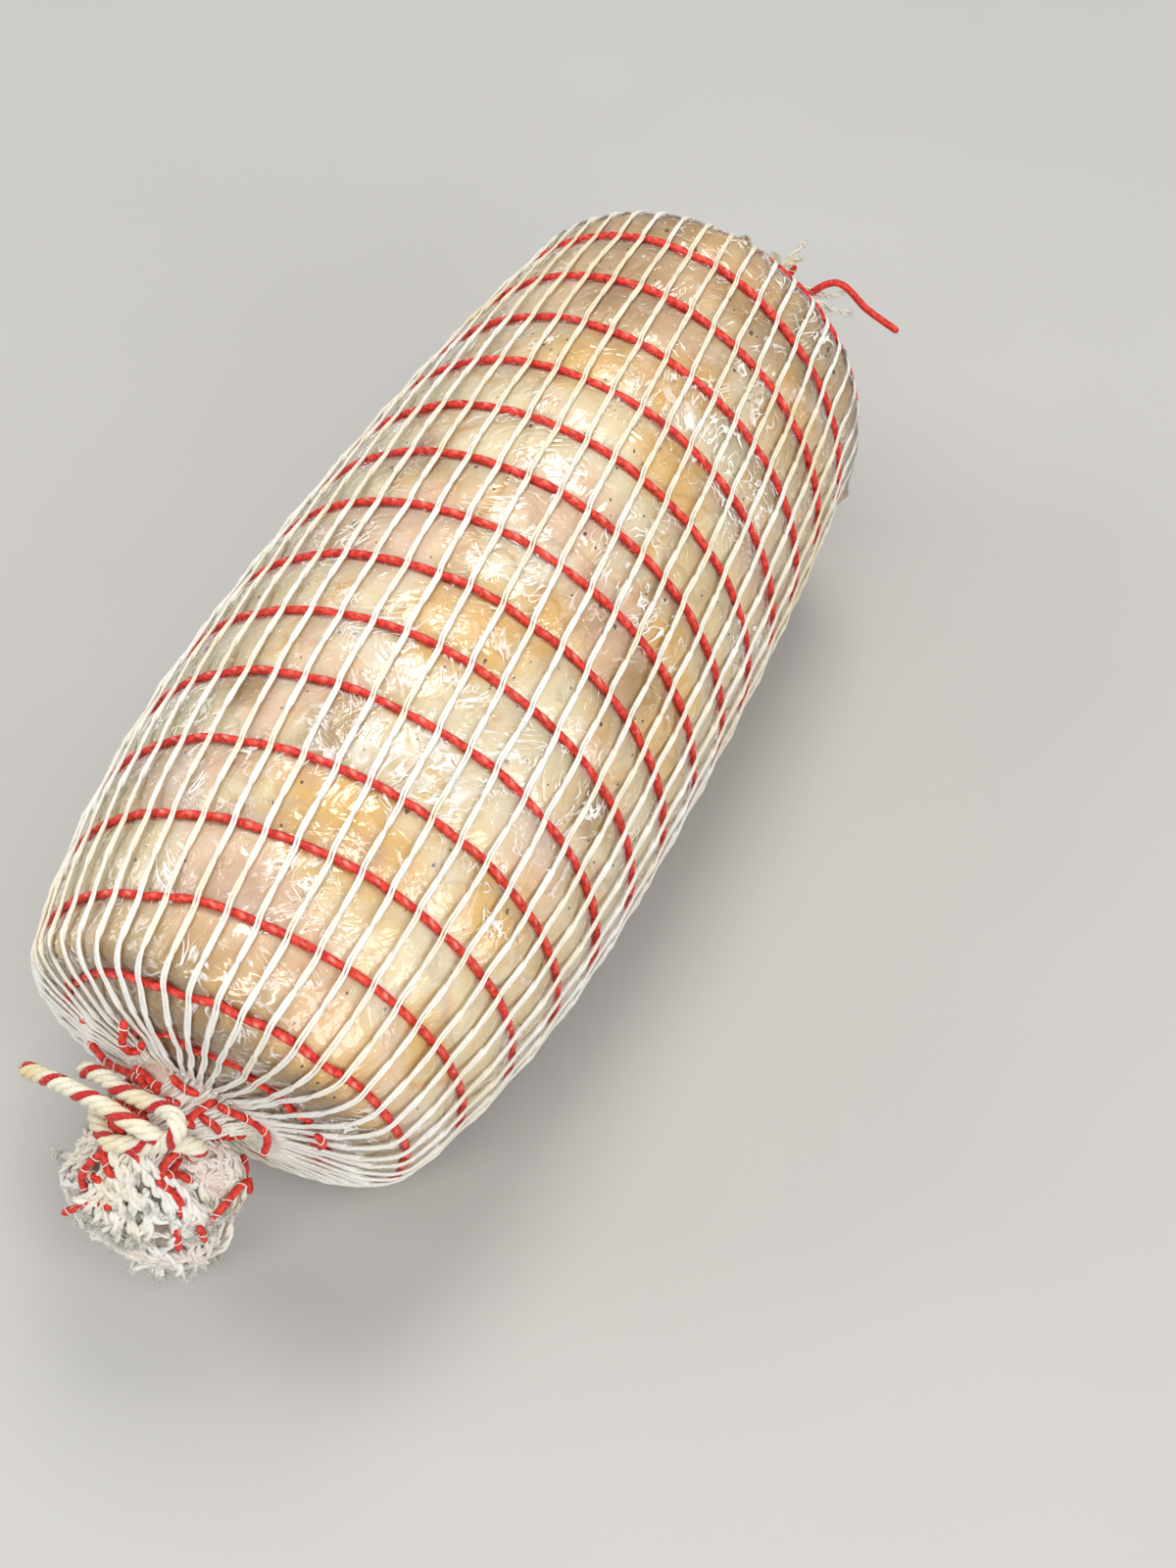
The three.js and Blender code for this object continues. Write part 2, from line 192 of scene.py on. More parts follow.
def carried(pixels, lift, carriers):
    """Places that pixels show on what carries them.

    A cord spans steep dips, and hangs on beside what it leaves.
    """
    directions = np.array([sight(pixel) / np.linalg.norm(sight(pixel)) for pixel in pixels])
    far = np.array([sight_length(direction, lift, carriers) for direction in directions])
    number = np.arange(len(far))
    known = np.isfinite(far)
    if not known.any():
        return in_front_of(TUFT_MIDDLE, [(*pixel, -1.0) for pixel in pixels])
    far = np.interp(number, number[known], far[known])
    steps = STEEPEST_SPAN * np.hypot(*np.diff(np.array(pixels, float), axis=0).T) / PIXELS_PER_MM
    for k in number[1:]:
        far[k] = min(far[k], far[k - 1] + steps[k - 1])
    for k in number[-2::-1]:
        far[k] = min(far[k], far[k + 1] + steps[k])
    return EYE + directions * far[:, None]


# The roll's skin

def end_rounding(distance, depth, power):
    left = 1 - np.clip(distance / depth, 0, 1)
    return (1 - left**power) ** (1 / power)


def roll_radius(x):
    near_taper = NEAR_TAPER * (np.maximum(WIDEST_X - x, 0) / 80) ** 2.5
    far_taper = FAR_TAPER * (np.maximum(x - WIDEST_X, 0) / 100) ** 2
    near_end = end_rounding(x - NEAR_POLE_X, *NEAR_END)
    far_end = end_rounding(FAR_POLE_X - x, *FAR_END)
    return (ROLL_RADIUS - near_taper - far_taper) * near_end * far_end


def measure_outline():
    middle = (NEAR_POLE_X + FAR_POLE_X) / 2
    half = (FAR_POLE_X - NEAR_POLE_X) / 2
    x = middle - half * np.cos(np.linspace(0, math.pi, 4001))
    r = roll_radius(x)
    along = np.concatenate([[0], np.cumsum(np.hypot(np.diff(x), np.diff(r)))])
    return along, x, r


OUTLINE_ALONG, OUTLINE_X, OUTLINE_R = measure_outline()
SKIN_LENGTH = float(OUTLINE_ALONG[-1])
MIDDLE_ALONG = SKIN_LENGTH / 2


def outline_at(along):
    along = np.clip(along, 0, SKIN_LENGTH)
    return np.interp(along, OUTLINE_ALONG, OUTLINE_X), np.interp(along, OUTLINE_ALONG, OUTLINE_R)


def lean_at(x):
    near = np.clip((NEAR_POLE_X + END_LEAN_REACH - x) / END_LEAN_REACH, 0, 1)
    far = np.clip((x - FAR_POLE_X + END_LEAN_REACH) / END_LEAN_REACH, 0, 1)
    return END_LEAN * (far**2 - near**2)


def skin(along, angle, height):
    """Points on the roll: length along the skin, angle round it, height over the elastic's middle."""
    along, angle, height = np.broadcast_arrays(np.asarray(along, float), angle, height)
    x, r = outline_at(along)
    step = 0.6
    ax, ar = outline_at(along - step)
    bx, br = outline_at(along + step)
    length = np.hypot(bx - ax, br - ar)
    out_x, out_r = -(br - ar) / length, (bx - ax) / length
    radius = np.maximum(r + height * out_r, 0)
    up = radius * np.sin(angle)
    z = np.maximum(AXIS_HEIGHT + up, NET_OUTSIDE - height)
    return np.stack([x + height * out_x + lean_at(x) * up, radius * np.cos(angle), z], axis=-1)


def round_along(turned):
    """Length along the skin at which the elastic is, after turning through an angle in all."""
    plain = FIRST_ROUND_TOP + ELASTIC_PITCH * ((turned - TURN / 4) / TURN - 1)
    r = outline_at(plain)[1]
    fan = ROUND_FAN * (plain - ROUND_FAN_MIDDLE) * np.cos(turned)
    lean = ROUND_TOP_LEAN * (np.sin(turned) - 1)
    return plain + (fan + lean) * r / ROLL_RADIUS


def strand_angle(number, along):
    start = TURN / 4 + number * TURN / STRAND_COUNT
    return start + STRAND_TWIST * (along - MIDDLE_ALONG)


# Smooth random fields

class Lattice:
    """Smooth seeded noise in space, from -1 to 1, repeating every 32 cells."""

    SIZE = 32

    def __init__(self, seed):
        self.values = np.random.default_rng(seed).uniform(-1, 1, (self.SIZE,) * 3)

    def __call__(self, points, cell):
        """cell is the size of a feature in millimetres, one number or one for each axis."""
        place = np.asarray(points, float) / np.asarray(cell, float)
        low = np.floor(place).astype(int)
        t = place - low
        t = t * t * (3 - 2 * t)
        total = 0
        for corner in range(8):
            offset = np.array([corner & 1, corner >> 1 & 1, corner >> 2 & 1])
            index = (low + offset) % self.SIZE
            weight = np.prod(np.where(offset, t, 1 - t), axis=-1)
            total = total + weight * self.values[index[..., 0], index[..., 1], index[..., 2]]
        return total


def ridges(noise, points, cell, sharpness):
    """Narrow raised lines where a noise passes through zero, from 0 to 1."""
    return (1 - np.abs(noise(points, cell))) ** sharpness


# Meshes

class Shape:
    """Vertices and faces being gathered for one piece, in millimetres."""

    def __init__(self):
        self.vertices = []
        self.faces = []
        self.count = 0

    def add(self, vertices, faces):
        self.vertices.append(np.asarray(vertices, float).reshape(-1, 3))
        self.faces.extend((np.asarray(faces) + self.count).tolist() if len(faces) else [])
        self.count += len(self.vertices[-1])

    def sheet(self, grid):
        """A grid of points, rows by columns, closed across its columns."""
        rows, columns = grid.shape[:2]
        row, column = np.meshgrid(np.arange(rows - 1), np.arange(columns), indexing="ij")
        a = row * columns + column
        b = row * columns + (column + 1) % columns
        self.add(grid, np.stack([a, b, b + columns, a + columns], axis=-1).reshape(-1, 4))

    def tube(self, rings):
        """Rings of points, closed at both ends."""
        rings = np.asarray(rings, float)
        first = self.count
        last = first + (len(rings) - 1) * rings.shape[1]
        self.sheet(rings)
        self.cap(rings[0], first, -1)
        self.cap(rings[-1], last, 1)

    def cap(self, ring, start, order):
        """Triangles from the middle of a ring to its vertices, which are there already."""
        around = (start + np.arange(len(ring)))[::order]
        middle = np.full(len(ring), self.count)
        self.add(ring.mean(axis=0), [])
        self.faces.extend(np.stack([around, np.roll(around, -1), middle], axis=-1).tolist())

    def cone(self, base, tip, radius):
        """A fine three-sided fibre from a base to a tip."""
        direction = tip - base
        side = np.cross(direction, (0.31, 0.52, 0.79))
        side *= radius / max(np.linalg.norm(side), 1e-9)
        other = np.cross(direction / max(np.linalg.norm(direction), 1e-9), side)
        corners = [base + side, base - side / 2 + other * 0.87, base - side / 2 - other * 0.87, tip]
        self.add(corners, [])
        k = self.count - 4
        self.faces.extend([[k, k + 1, k + 3], [k + 1, k + 2, k + 3], [k + 2, k, k + 3], [k, k + 2, k + 1]])

    def piece(self, name, material, replaced=(), tints=None):
        mesh = bpy.data.meshes.new(name)
        vertices = np.concatenate(self.vertices) * MM
        mesh.from_pydata(vertices.tolist(), [], self.faces)
        mesh.validate()
        mesh.shade_smooth()
        mesh.materials.append(material)
        if tints is not None:
            layer = mesh.color_attributes.new("tints", "FLOAT_COLOR", "POINT")
            layer.data.foreach_set("color", np.asarray(tints, np.float32).ravel())
        obj = bpy.data.objects.new(name, mesh)
        bpy.context.collection.objects.link(obj)
        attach(obj, "root")
        if replaced:
            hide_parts(*replaced)


def angles_round(count):
    """Even angles over one turn."""
    return np.arange(count) * TURN / count


def lengths_along(path):
    """The length of a path up to each of its points."""
    return np.concatenate([[0], np.cumsum(np.linalg.norm(np.diff(path, axis=0), axis=1))])


def smooth_path(points, steps):
    """A Catmull-Rom curve through points, at even lengths."""
    points = np.asarray(points, float)
    padded = np.concatenate([[2 * points[0] - points[1]], points, [2 * points[-1] - points[-2]]])
    fine = []
    for i in range(len(points) - 1):
        a, b, c, d = padded[i : i + 4]
        t = np.linspace(0, 1, 24, endpoint=False)[:, None]
        fine.append(
            0.5 * (2 * b + (c - a) * t + (2 * a - 5 * b + 4 * c - d) * t**2 + (3 * b - a - 3 * c + d) * t**3)
        )
    fine = np.concatenate([*fine, points[-1:]])
    length = lengths_along(fine)
    wanted = np.linspace(0, length[-1], steps)
    return np.stack([np.interp(wanted, length, fine[:, k]) for k in range(3)], axis=-1)


def path_length(path):
    return float(np.linalg.norm(np.diff(path, axis=0), axis=1).sum())


def path_frames(path):
    """Directions across a path that turn as little as they can along it."""
    tangent = np.gradient(path, axis=0)
    tangent /= np.linalg.norm(tangent, axis=1, keepdims=True)
    side = np.array([0.0, 0.0, 1.0]) if abs(tangent[0, 2]) < 0.9 else np.array([0.0, 1.0, 0.0])
    sides = []
    for t in tangent:
        side = side - (side @ t) * t
        side = side / np.linalg.norm(side)
        sides.append(side)
    sides = np.array(sides)
    return sides, np.cross(tangent, sides)


def rings_along(path, radius, sides):
    """Rings of points round a path. radius is one number, one per ring, or one per point."""
    side, other = path_frames(path)
    angle = angles_round(sides)
    if np.ndim(radius) < 2:
        radius = np.reshape(radius, (-1, 1))
    radius = np.broadcast_to(radius, (len(path), sides))
    a = (radius * np.cos(angle))[..., None] * side[:, None]
    b = (radius * np.sin(angle))[..., None] * other[:, None]
    return path[:, None] + a + b


def rounded_ends(count, *shares):
    """A share for each ring of a cord: those given, from each end inward, and 1 between them."""
    share = np.ones(count)
    share[: len(shares)] = shares
    share[-len(shares) :] = shares[::-1]
    return share


# Cords

# The length of cord between two of its rings
KNIT_STEP = 0.62


def knitted_cord(shape, path, half_width, rng, stitch=4.0, sides=5):
    """A cord of chain stitches: two legs side by side that cross over again and again."""
    length = path_length(path)
    steps = max(int(length / KNIT_STEP), 4)
    path = smooth_path(path, steps)
    side, other = path_frames(path)
    t = np.linspace(0, length / stitch, steps) + rng.uniform(0, 1)
    turn = math.pi * t + 0.32 * np.sin(TURN * t)
    swell = 1 - 0.2 * np.cos(TURN * t) + 0.05 * rng.normal(0, 1, steps)
    swell *= rounded_ends(steps, 0.5)
    apart = half_width * 0.5
    for leg in (0, math.pi):
        across = np.cos(turn + leg)[:, None] * side + 0.7 * np.sin(turn + leg)[:, None] * other
        shape.tube(rings_along(path + apart * across, half_width * 0.52 * swell, sides))


def frayed_end(shape, tip, direction, rng, count, length, spread, radius):
    """Loose fibres that spread from the cut end of a cord."""
    for _ in range(count):
        bent = direction + spread * rng.normal(0, 0.5, 3)
        reach = length * rng.uniform(0.5, 1.1)
        shape.cone(tip + rng.normal(0, 0.35, 3), tip + bent / np.linalg.norm(bent) * reach, radius)


def fuzz(shape, path, surface, rng, per_mm, length, radius):
    """Loose fibres that stand out of a cord."""
    side, other = path_frames(path)
    count = int(per_mm * path_length(path))
    for _ in range(count):
        i = rng.integers(1, len(path) - 1)
        angle = rng.uniform(0, TURN)
        out = math.cos(angle) * side[i] + math.sin(angle) * other[i]
        base = path[i] + surface * out
        lean = out + 0.8 * rng.normal(0, 1, 3)
        shape.cone(base, base + lean / np.linalg.norm(lean) * length * rng.uniform(0.4, 1.2), radius)


# Where the strands meet the elastic

def net_crossings():
    """For each strand, where it meets each round: total turned angle and length along the skin."""
    number = np.arange(STRAND_COUNT)[:, None]
    turned = TURN * ROUNDS + TURN * number / STRAND_COUNT
    for _ in range(8):
        turned = TURN * ROUNDS + strand_angle(number, round_along(turned))
    return turned, round_along(turned)


TURNED, CROSSING = net_crossings()
NET_RNG = np.random.default_rng(20)


def looseness(along):
    """How slack the net is: tight over the barrel, loose on the near end face."""
    return 0.14 + 1.7 * np.clip((46 - along) / 20, 0, 1) ** 2 + 0.25 * np.clip((along - 265) / 20, 0, 1)


SLIP = NET_RNG.normal(0, 1, CROSSING.shape) * looseness(CROSSING)
SIDEWAYS = NET_RNG.normal(0, 1, CROSSING.shape) * (0.13 + 0.3 * looseness(CROSSING))
CROSSING_AT = CROSSING + SLIP
IN_REACH = (CROSSING > NECK_ARC + 3) & (CROSSING < SKIN_LENGTH - NECK_ARC - 3)


# The wrapped meat and its film

FOLDS = [Lattice(seed) for seed in range(6)]


def skin_grid(rows, columns):
    """Lengths along the skin and angles round it, row by row from pole to pole."""
    along = np.repeat(np.linspace(0, SKIN_LENGTH, rows)[:, None], columns, axis=1)
    return along, strand_angle(0, along) + angles_round(columns)


def round_fraction(along, angle):
    """How far between two rounds of the elastic a place is, from 0 to 1."""
    turned = np.mod(angle, TURN)
    fraction = np.empty_like(along)
    for column in range(along.shape[1]):
        marks = round_along(TURN * ROUNDS + turned[:, column, None])
        for row in range(along.shape[0]):
            fraction[row, column] = np.interp(along[row, column], marks[row], ROUNDS)
    return np.mod(fraction, 1)


def bulge_heights(along, angle):
    """The skin's height between the cords: full in the middle of a cell, drawn in at its edges."""
    between_rounds = np.sin(math.pi * round_fraction(along, angle))
    strand_place = (angle - strand_angle(0, along)) * STRAND_COUNT / TURN
    between_strands = 0.5 - 0.5 * np.cos(TURN * strand_place)
    places = skin(along, angle, 0)
    fullness = 1 + 0.3 * FOLDS[0](places, 22)
    flat_end = np.clip(np.minimum(along, SKIN_LENGTH - along) / 30, 0, 1)
    height = -0.95 + 1.5 * between_rounds**0.4 * fullness * (0.7 + 0.3 * flat_end)
    height = height + 0.25 * FOLDS[1](places, 9)
    rim = np.exp(-(((along - SKIN_LENGTH + FAR_RIM_ARC) / 12) ** 2))
    puffed = (0.28 + 0.45 * rim * (1 + 0.8 * FOLDS[2](places, 7))) * between_strands * between_rounds
    return np.minimum(height, 0.75) + puffed, places


def end_pleats(along, angle):
    """Folds that run to the poles where the film is gathered in."""
    near = np.clip((46 - along) / 34, 0, 1)
    far = np.clip((along - SKIN_LENGTH + 46) / 34, 0, 1)
    wander = 0.5 * np.sin(3 * angle + 1) + 0.3 * np.sin(7 * angle)
    folds = np.abs(np.sin(9.5 * angle + wander)) ** 0.7
    folds += 0.5 * np.abs(np.sin(17.5 * angle + 2 * wander))
    return (near + far) * (0.55 - 0.75 * folds)


def film_wrinkles(places, along):
    """Small folds of the drawn film: long ones along the roll and short ones across."""
    slant = places @ np.array([[1, 0.35, 0], [-0.35, 1, 0], [0, 0, 1]])
    long_folds = ridges(FOLDS[2], slant, (26, 7, 7), 9)
    short_folds = ridges(FOLDS[3], places + 40, (9, 5, 5), 10)
    patches = np.clip(0.5 + 1.6 * FOLDS[4](places, 30), 0, 1)
    return 0.42 * long_folds * patches + 0.26 * short_folds * (1 - 0.6 * patches)


PEPPER_COUNT = 950
PEPPER_CORNERS = 7


def make_pepper(surface):
    """Ground pepper and herb flakes on the meat, each a small flattened grain."""
    rng = np.random.default_rng(12)
    shape = Shape()
    rows, columns = surface.shape[:2]
    for _ in range(PEPPER_COUNT):
        row = int(rng.integers(24, rows - 12))
        column = int(rng.integers(0, columns))
        place = surface[row, column]
        along = surface[row + 1, column] - place
        across = surface[row, (column + 1) % columns] - place
        out = np.cross(across, along)
        if np.linalg.norm(out) < 1e-6:
            continue
        out /= np.linalg.norm(out)
        along /= np.linalg.norm(along)
        across = np.cross(out, along)
        size = min(0.22 + rng.exponential(0.17), 0.85)
        angle = angles_round(PEPPER_CORNERS) + rng.uniform(0, 1)
        rim = (size * rng.uniform(0.6, 1.25, PEPPER_CORNERS))[:, None]
        ring = place + rim * (np.cos(angle)[:, None] * along + 0.7 * np.sin(angle)[:, None] * across)
        top = ring * 0.55 + place * 0.45
        shape.tube([ring - 0.12 * out, ring, top + 0.14 * out])
    shape.piece("pepper_grains", pepper_look())


# Blots of colour that the photograph shows: a pixel, a radius in millimetres, a kind
YELLOW_FAT, PINK_MEAT, BROWN_MEAT, PALE_MEAT = range(4)
MEAT_BLOTS = [
    ((330, 840), 11, YELLOW_FAT),
    ((385, 880), 8, YELLOW_FAT),
    ((475, 650), 12, YELLOW_FAT),
    ((540, 640), 8, YELLOW_FAT),
    ((500, 920), 10, YELLOW_FAT),
    ((680, 470), 10, YELLOW_FAT),
    ((590, 360), 12, YELLOW_FAT),
    ((700, 390), 8, YELLOW_FAT),
    ((690, 730), 10, YELLOW_FAT),
    ((690, 650), 6, YELLOW_FAT),
    ((205, 1030), 7, YELLOW_FAT),
    ((195, 1090), 8, YELLOW_FAT),
    ((340, 1130), 9, YELLOW_FAT),
    ((420, 1060), 6, YELLOW_FAT),
    ((820, 400), 7, YELLOW_FAT),
    ((410, 540), 14, PINK_MEAT),
    ((310, 560), 8, PINK_MEAT),
    ((180, 790), 10, PINK_MEAT),
    ((250, 930), 12, PINK_MEAT),
    ((300, 1000), 11, PINK_MEAT),
    ((670, 345), 10, PINK_MEAT),
    ((580, 520), 11, PINK_MEAT),
    ((550, 880), 10, PINK_MEAT),
    ((620, 640), 10, PINK_MEAT),
    ((770, 560), 9, PINK_MEAT),
    ((430, 470), 7, BROWN_MEAT),
    ((640, 300), 10, BROWN_MEAT),
    ((690, 240), 9, BROWN_MEAT),
    ((345, 730), 6, BROWN_MEAT),
    ((640, 700), 6, BROWN_MEAT),
    ((260, 695), 5, BROWN_MEAT),
    ((600, 830), 5, BROWN_MEAT),
    ((760, 300), 9, BROWN_MEAT),
    ((360, 770), 6, PALE_MEAT),
    ((440, 970), 9, PALE_MEAT),
    ((500, 780), 11, PALE_MEAT),
    ((620, 450), 9, PALE_MEAT),
    ((560, 740), 9, PALE_MEAT),
    ((470, 740), 8, PALE_MEAT),
    ((380, 640), 9, PALE_MEAT),
    ((730, 500), 7, PALE_MEAT),
]
# Where the film is crumpled, where a highlight is painted on it in white, and where it lies smooth
CRUMPLED, PAINTED_GLARE, SMOOTH = range(3)
FILM_BLOTS = [
    ((400, 760), 15, CRUMPLED),
    ((455, 800), 10, CRUMPLED),
    ((400, 765), 8, PAINTED_GLARE),
    ((455, 795), 7, PAINTED_GLARE),
    ((330, 745), 7, PAINTED_GLARE),
    ((520, 590), 11, CRUMPLED),
    ((545, 570), 5, PAINTED_GLARE),
    ((430, 690), 8, CRUMPLED),
    ((500, 870), 9, CRUMPLED),
    ((720, 440), 12, CRUMPLED),
    ((775, 520), 12, CRUMPLED),
    ((700, 420), 5, PAINTED_GLARE),
    ((640, 560), 9, CRUMPLED),
    ((600, 800), 8, CRUMPLED),
    ((300, 900), 8, CRUMPLED),
    ((160, 900), 7, CRUMPLED),
    ((680, 640), 8, CRUMPLED),
    ((560, 470), 8, CRUMPLED),
    ((830, 330), 7, CRUMPLED),
    ((330, 840), 8, SMOOTH),
    ((250, 940), 9, SMOOTH),
    ((200, 620), 12, SMOOTH),
    ((600, 360), 9, SMOOTH),
    ((340, 1080), 10, SMOOTH),
]


def blots(surface, seen, seed):
    """How strongly each kind of blot shows at each place of a surface.

    The side that the photograph doesn't show gets blots of the same sizes at random places.
    """
    rng = np.random.default_rng(seed)
    places = surface.reshape(-1, 3)
    out = np.cross(np.roll(surface, -1, axis=1) - surface, np.gradient(surface, axis=0)).reshape(-1, 3)
    facing = np.einsum("ij,ij->i", out, places - EYE) < 0
    visible = np.flatnonzero(facing)
    hidden = np.flatnonzero(~facing)
    pixels = pixels_of(places[visible])
    centres = []
    for pixel, size, kind in seen:
        nearest = np.argmin(((pixels - pixel) ** 2).sum(axis=1))
        centres.append((places[visible[nearest]], size, kind))
    for _, size, kind in 2 * seen:
        centres.append((places[rng.choice(hidden)], size * rng.uniform(0.8, 1.2), kind))
    ragged = 0.45 * FOLDS[3](places, 9) + 0.25 * FOLDS[4](places, 3.5)
    strength = np.zeros((len(places), 4))
    for centre, size, kind in centres:
        near = 1.25 - np.linalg.norm(places - centre, axis=1) / size + ragged
        strength[:, kind] = np.maximum(strength[:, kind], np.clip(near / 0.5, 0, 1))
    return strength


# Lumps of loose film at the roll's outline: a pixel, a width and a height in millimetres
FILM_LUMPS = [
    ((742, 243), 3.4, 1.0),
    ((764, 250), 3.8, 1.7),
    ((786, 262), 3.0, 1.1),
    ((54, 945), 3.4, 2.0),
    ((60, 966), 2.6, 1.4),
    ((874, 352), 3.0, 1.3),
    ((856, 505), 2.8, 1.3),
    ((375, 462), 2.6, 1.1),
]


def film_lumps(surface):
    """Where loose film pushes out between the strands of the net."""
    pixels = pixels_of(surface)
    height = np.zeros(surface.shape[:2])
    for pixel, width, tall in FILM_LUMPS:
        nearest = np.unravel_index(np.argmin(((pixels - pixel) ** 2).sum(axis=-1)), height.shape)
        distance = np.linalg.norm(surface - surface[nearest], axis=-1)
        ragged = 1 + 0.5 * FOLDS[3](surface, 2.2)
        height = height + tall * ragged * np.exp(-((distance / width) ** 2))
    return height


SKIN_ROWS = 421
SKIN_COLUMNS = 208
MEAT_UNDER_FILM = 0.45


def make_roll(meat_material, film_material):
    along, angle = skin_grid(SKIN_ROWS, SKIN_COLUMNS)
    height, places = bulge_heights(along, angle)
    strand_place = 0.5 - 0.5 * np.cos((angle - strand_angle(0, along)) * STRAND_COUNT)
    pleated = np.minimum(height + 0.5 * end_pleats(along, angle), 1.6)
    clear_of_net = pleated + film_lumps(places) * strand_place**0.6
    meat_surface = skin(along, angle, clear_of_net - MEAT_UNDER_FILM)
    make_pepper(meat_surface)
    meat_surface = meat_surface[::2, ::2]
    meat = Shape()
    meat.sheet(meat_surface)
    meat.piece("meat", meat_material, ["wrapped_meat"], blots(meat_surface, MEAT_BLOTS, 21))
    wrinkled = clear_of_net + film_wrinkles(places, along)
    film_surface = skin(along, angle, np.minimum(wrinkled, np.maximum(clear_of_net + 0.1, 1.7)))
    film = Shape()
    film.sheet(film_surface)
    film.piece("film", film_material, tints=blots(film_surface, FILM_BLOTS, 22))


# The net on the roll

ELASTIC_SIDES = 8
STRAND_SIDES = 5


def elastic_rounds(shape):
    """The elastic's whole run, pinched where the strands hold it. Gives its pale spots: a painted highlight
    on top of each bulge, with the rubber core showing there.
    """
    order = np.argsort(TURNED[IN_REACH])
    turned = TURNED[IN_REACH][order]
    along = CROSSING_AT[IN_REACH][order]
    parts = 6
    t = np.arange(parts) / parts
    wobble = np.random.default_rng(31)
    free = np.tile(np.sin(math.pi * t), len(turned) - 1)
    sag = np.repeat(wobble.normal(0, 0.35, len(turned) - 1) * looseness(along[:-1]), parts)
    turned_fine = (turned[:-1, None] + t * np.diff(turned)[:, None]).ravel()
    along_fine = (along[:-1, None] + t * np.diff(along)[:, None]).ravel() + sag * free
    radius = ELASTIC_RADIUS * (0.86 + 0.16 * free**0.6 + 0.035 * wobble.normal(0, 1, len(free)))
    height = -0.1 + 0.14 * free
    around = angles_round(ELASTIC_SIDES)
    shape.tube(
        skin(
            along_fine[:, None] + radius[:, None] * np.cos(around),
            turned_fine[:, None],
            height[:, None] + radius[:, None] * np.sin(around),
        )
    )
    # Pale spots on top of each bulge: a painted highlight, with the rubber core showing there
    glint_and_core_spots = (free > 0.99)[:, None] * (np.sin(around) > 0.99) * wobble.uniform(0.3, 1, (len(free), 1))
    tints = np.zeros((shape.count, 4))
    tints[: glint_and_core_spots.size, 0] = glint_and_core_spots.ravel()
    return tints


# The rings of a strand between two rounds of elastic, as shares of the way
CELL_STATIONS = np.array([0, 0.05, 0.11, 0.2, 0.3, 0.38, 0.45, 0.5, 0.56, 0.65, 0.77, 0.88, 0.95])
# The share by which strands are thinner at the far end of the roll
FAR_THINNER = 0.14


def strand_cell(cell, start, length, drift, drift_on, rng):
    """The stations of a strand between two rounds: its legs part round the elastic and cross between."""
    t = CELL_STATIONS
    arch = np.sin(math.pi * t)
    cross_at = rng.uniform(0.42, 0.58)
    turn = math.pi * (cell + 1 / (1 + np.exp(-(t - cross_at) * 15)))
    crossed = np.exp(-(((t - cross_at) / 0.07) ** 2))
    drawn = 1 - FAR_THINNER * min(max((start - 160) / 90, 0), 1)
    fat = drawn * (0.25 + 0.14 * arch**0.6 + 0.07 * crossed) * rng.uniform(0.92, 1.1)
    fat *= 1 + 0.05 * rng.normal(0, 1, len(t))
    apart = drawn * (0.32 - 0.06 * arch)
    edge = np.minimum(1, np.minimum(t, 1 - t) / 0.09)
    slant = 0.27 * (2 * t - 1) * edge * min(length / ELASTIC_PITCH, 1)
    sideways = drift + (drift_on - drift) * t + slant
    place = start + t * length
    sunk = 0.5 * np.exp(-(((place - SKIN_LENGTH + FAR_RIM_ARC) / 17) ** 2))
    centre = 1.0 + 0.22 * arch - sunk
    return np.stack([place, turn, fat, apart, sideways, centre])


def strand_legs(shape, number):
    """One white strand over the roll: its two legs through every cell."""
    rng = np.random.default_rng(100 + number)
    mine = IN_REACH[number]
    marks = np.concatenate([[NECK_ARC - 1], CROSSING_AT[number][mine], [SKIN_LENGTH - NECK_ARC + 1]])
    drift = np.concatenate([[0], SIDEWAYS[number][mine], [0]])
    cells = []
    for cell, length in enumerate(np.diff(marks)):
        if length >= 1.5:
            cells.append(strand_cell(cell, marks[cell], length, drift[cell], drift[cell + 1], rng))
    along, turn, fat, apart, sideways, centre = np.concatenate(cells, axis=1)[..., None]
    around = angles_round(STRAND_SIDES)
    r = outline_at(along)[1]
    for leg in (0, math.pi):
        across = sideways + apart * np.cos(turn + leg)
        height = centre + 0.75 * apart * np.sin(turn + leg)
        angle = strand_angle(number, along) + (across + fat * np.cos(around)) / r
        shape.tube(skin(along, angle, np.minimum(height + fat * np.sin(around), NET_OUTSIDE)))


FUZZ_PER_STRAND = 120
FUZZ_HEIGHT = 1.35


def net_fuzz(shape):
    """Loose fibres of the white strands, except where they lie on the floor."""
    rng = np.random.default_rng(64)
    for number in range(STRAND_COUNT):
        for _ in range(FUZZ_PER_STRAND):
            along = rng.uniform(NECK_ARC, SKIN_LENGTH - NECK_ARC)
            r = outline_at(along)[1]
            angle = strand_angle(number, along) + rng.normal(0, 0.45) / r
            base = skin(along, angle, FUZZ_HEIGHT)
            if base[2] < 1.5:
                continue
            tall = FUZZ_HEIGHT + 0.8 * rng.uniform(0.3, 0.95)
            tip = skin(along + rng.normal(0, 0.6), angle + rng.normal(0, 0.7) / r, tall)
            shape.cone(base, tip, 0.045)


def make_net(yarn, elastic):
    for number in range(STRAND_COUNT):
        shape = Shape()
        strand_legs(shape, number)
        name = f"strand_{number + 1:02d}"
        shape.piece(f"{name}_knit", yarn, [name])
    shape = Shape()
    net_fuzz(shape)
    shape.piece("net_fibres", yarn)
    shape = Shape()
    tints = elastic_rounds(shape)
    shape.piece("elastic_cord", elastic, ["elastic"], tints)


# The gathered ends

def bundle_point(section, angle, share):
    """A place in a bundle at a section, an angle and a share of the radius there."""
    (centre, radius, stretch), previous = section
    direction = np.array(centre, float) - previous
    direction /= np.linalg.norm(direction)
    side, up = across_frame(direction)
    return np.array(centre) + radius * share * (stretch * math.cos(angle) * side + math.sin(angle) * up)


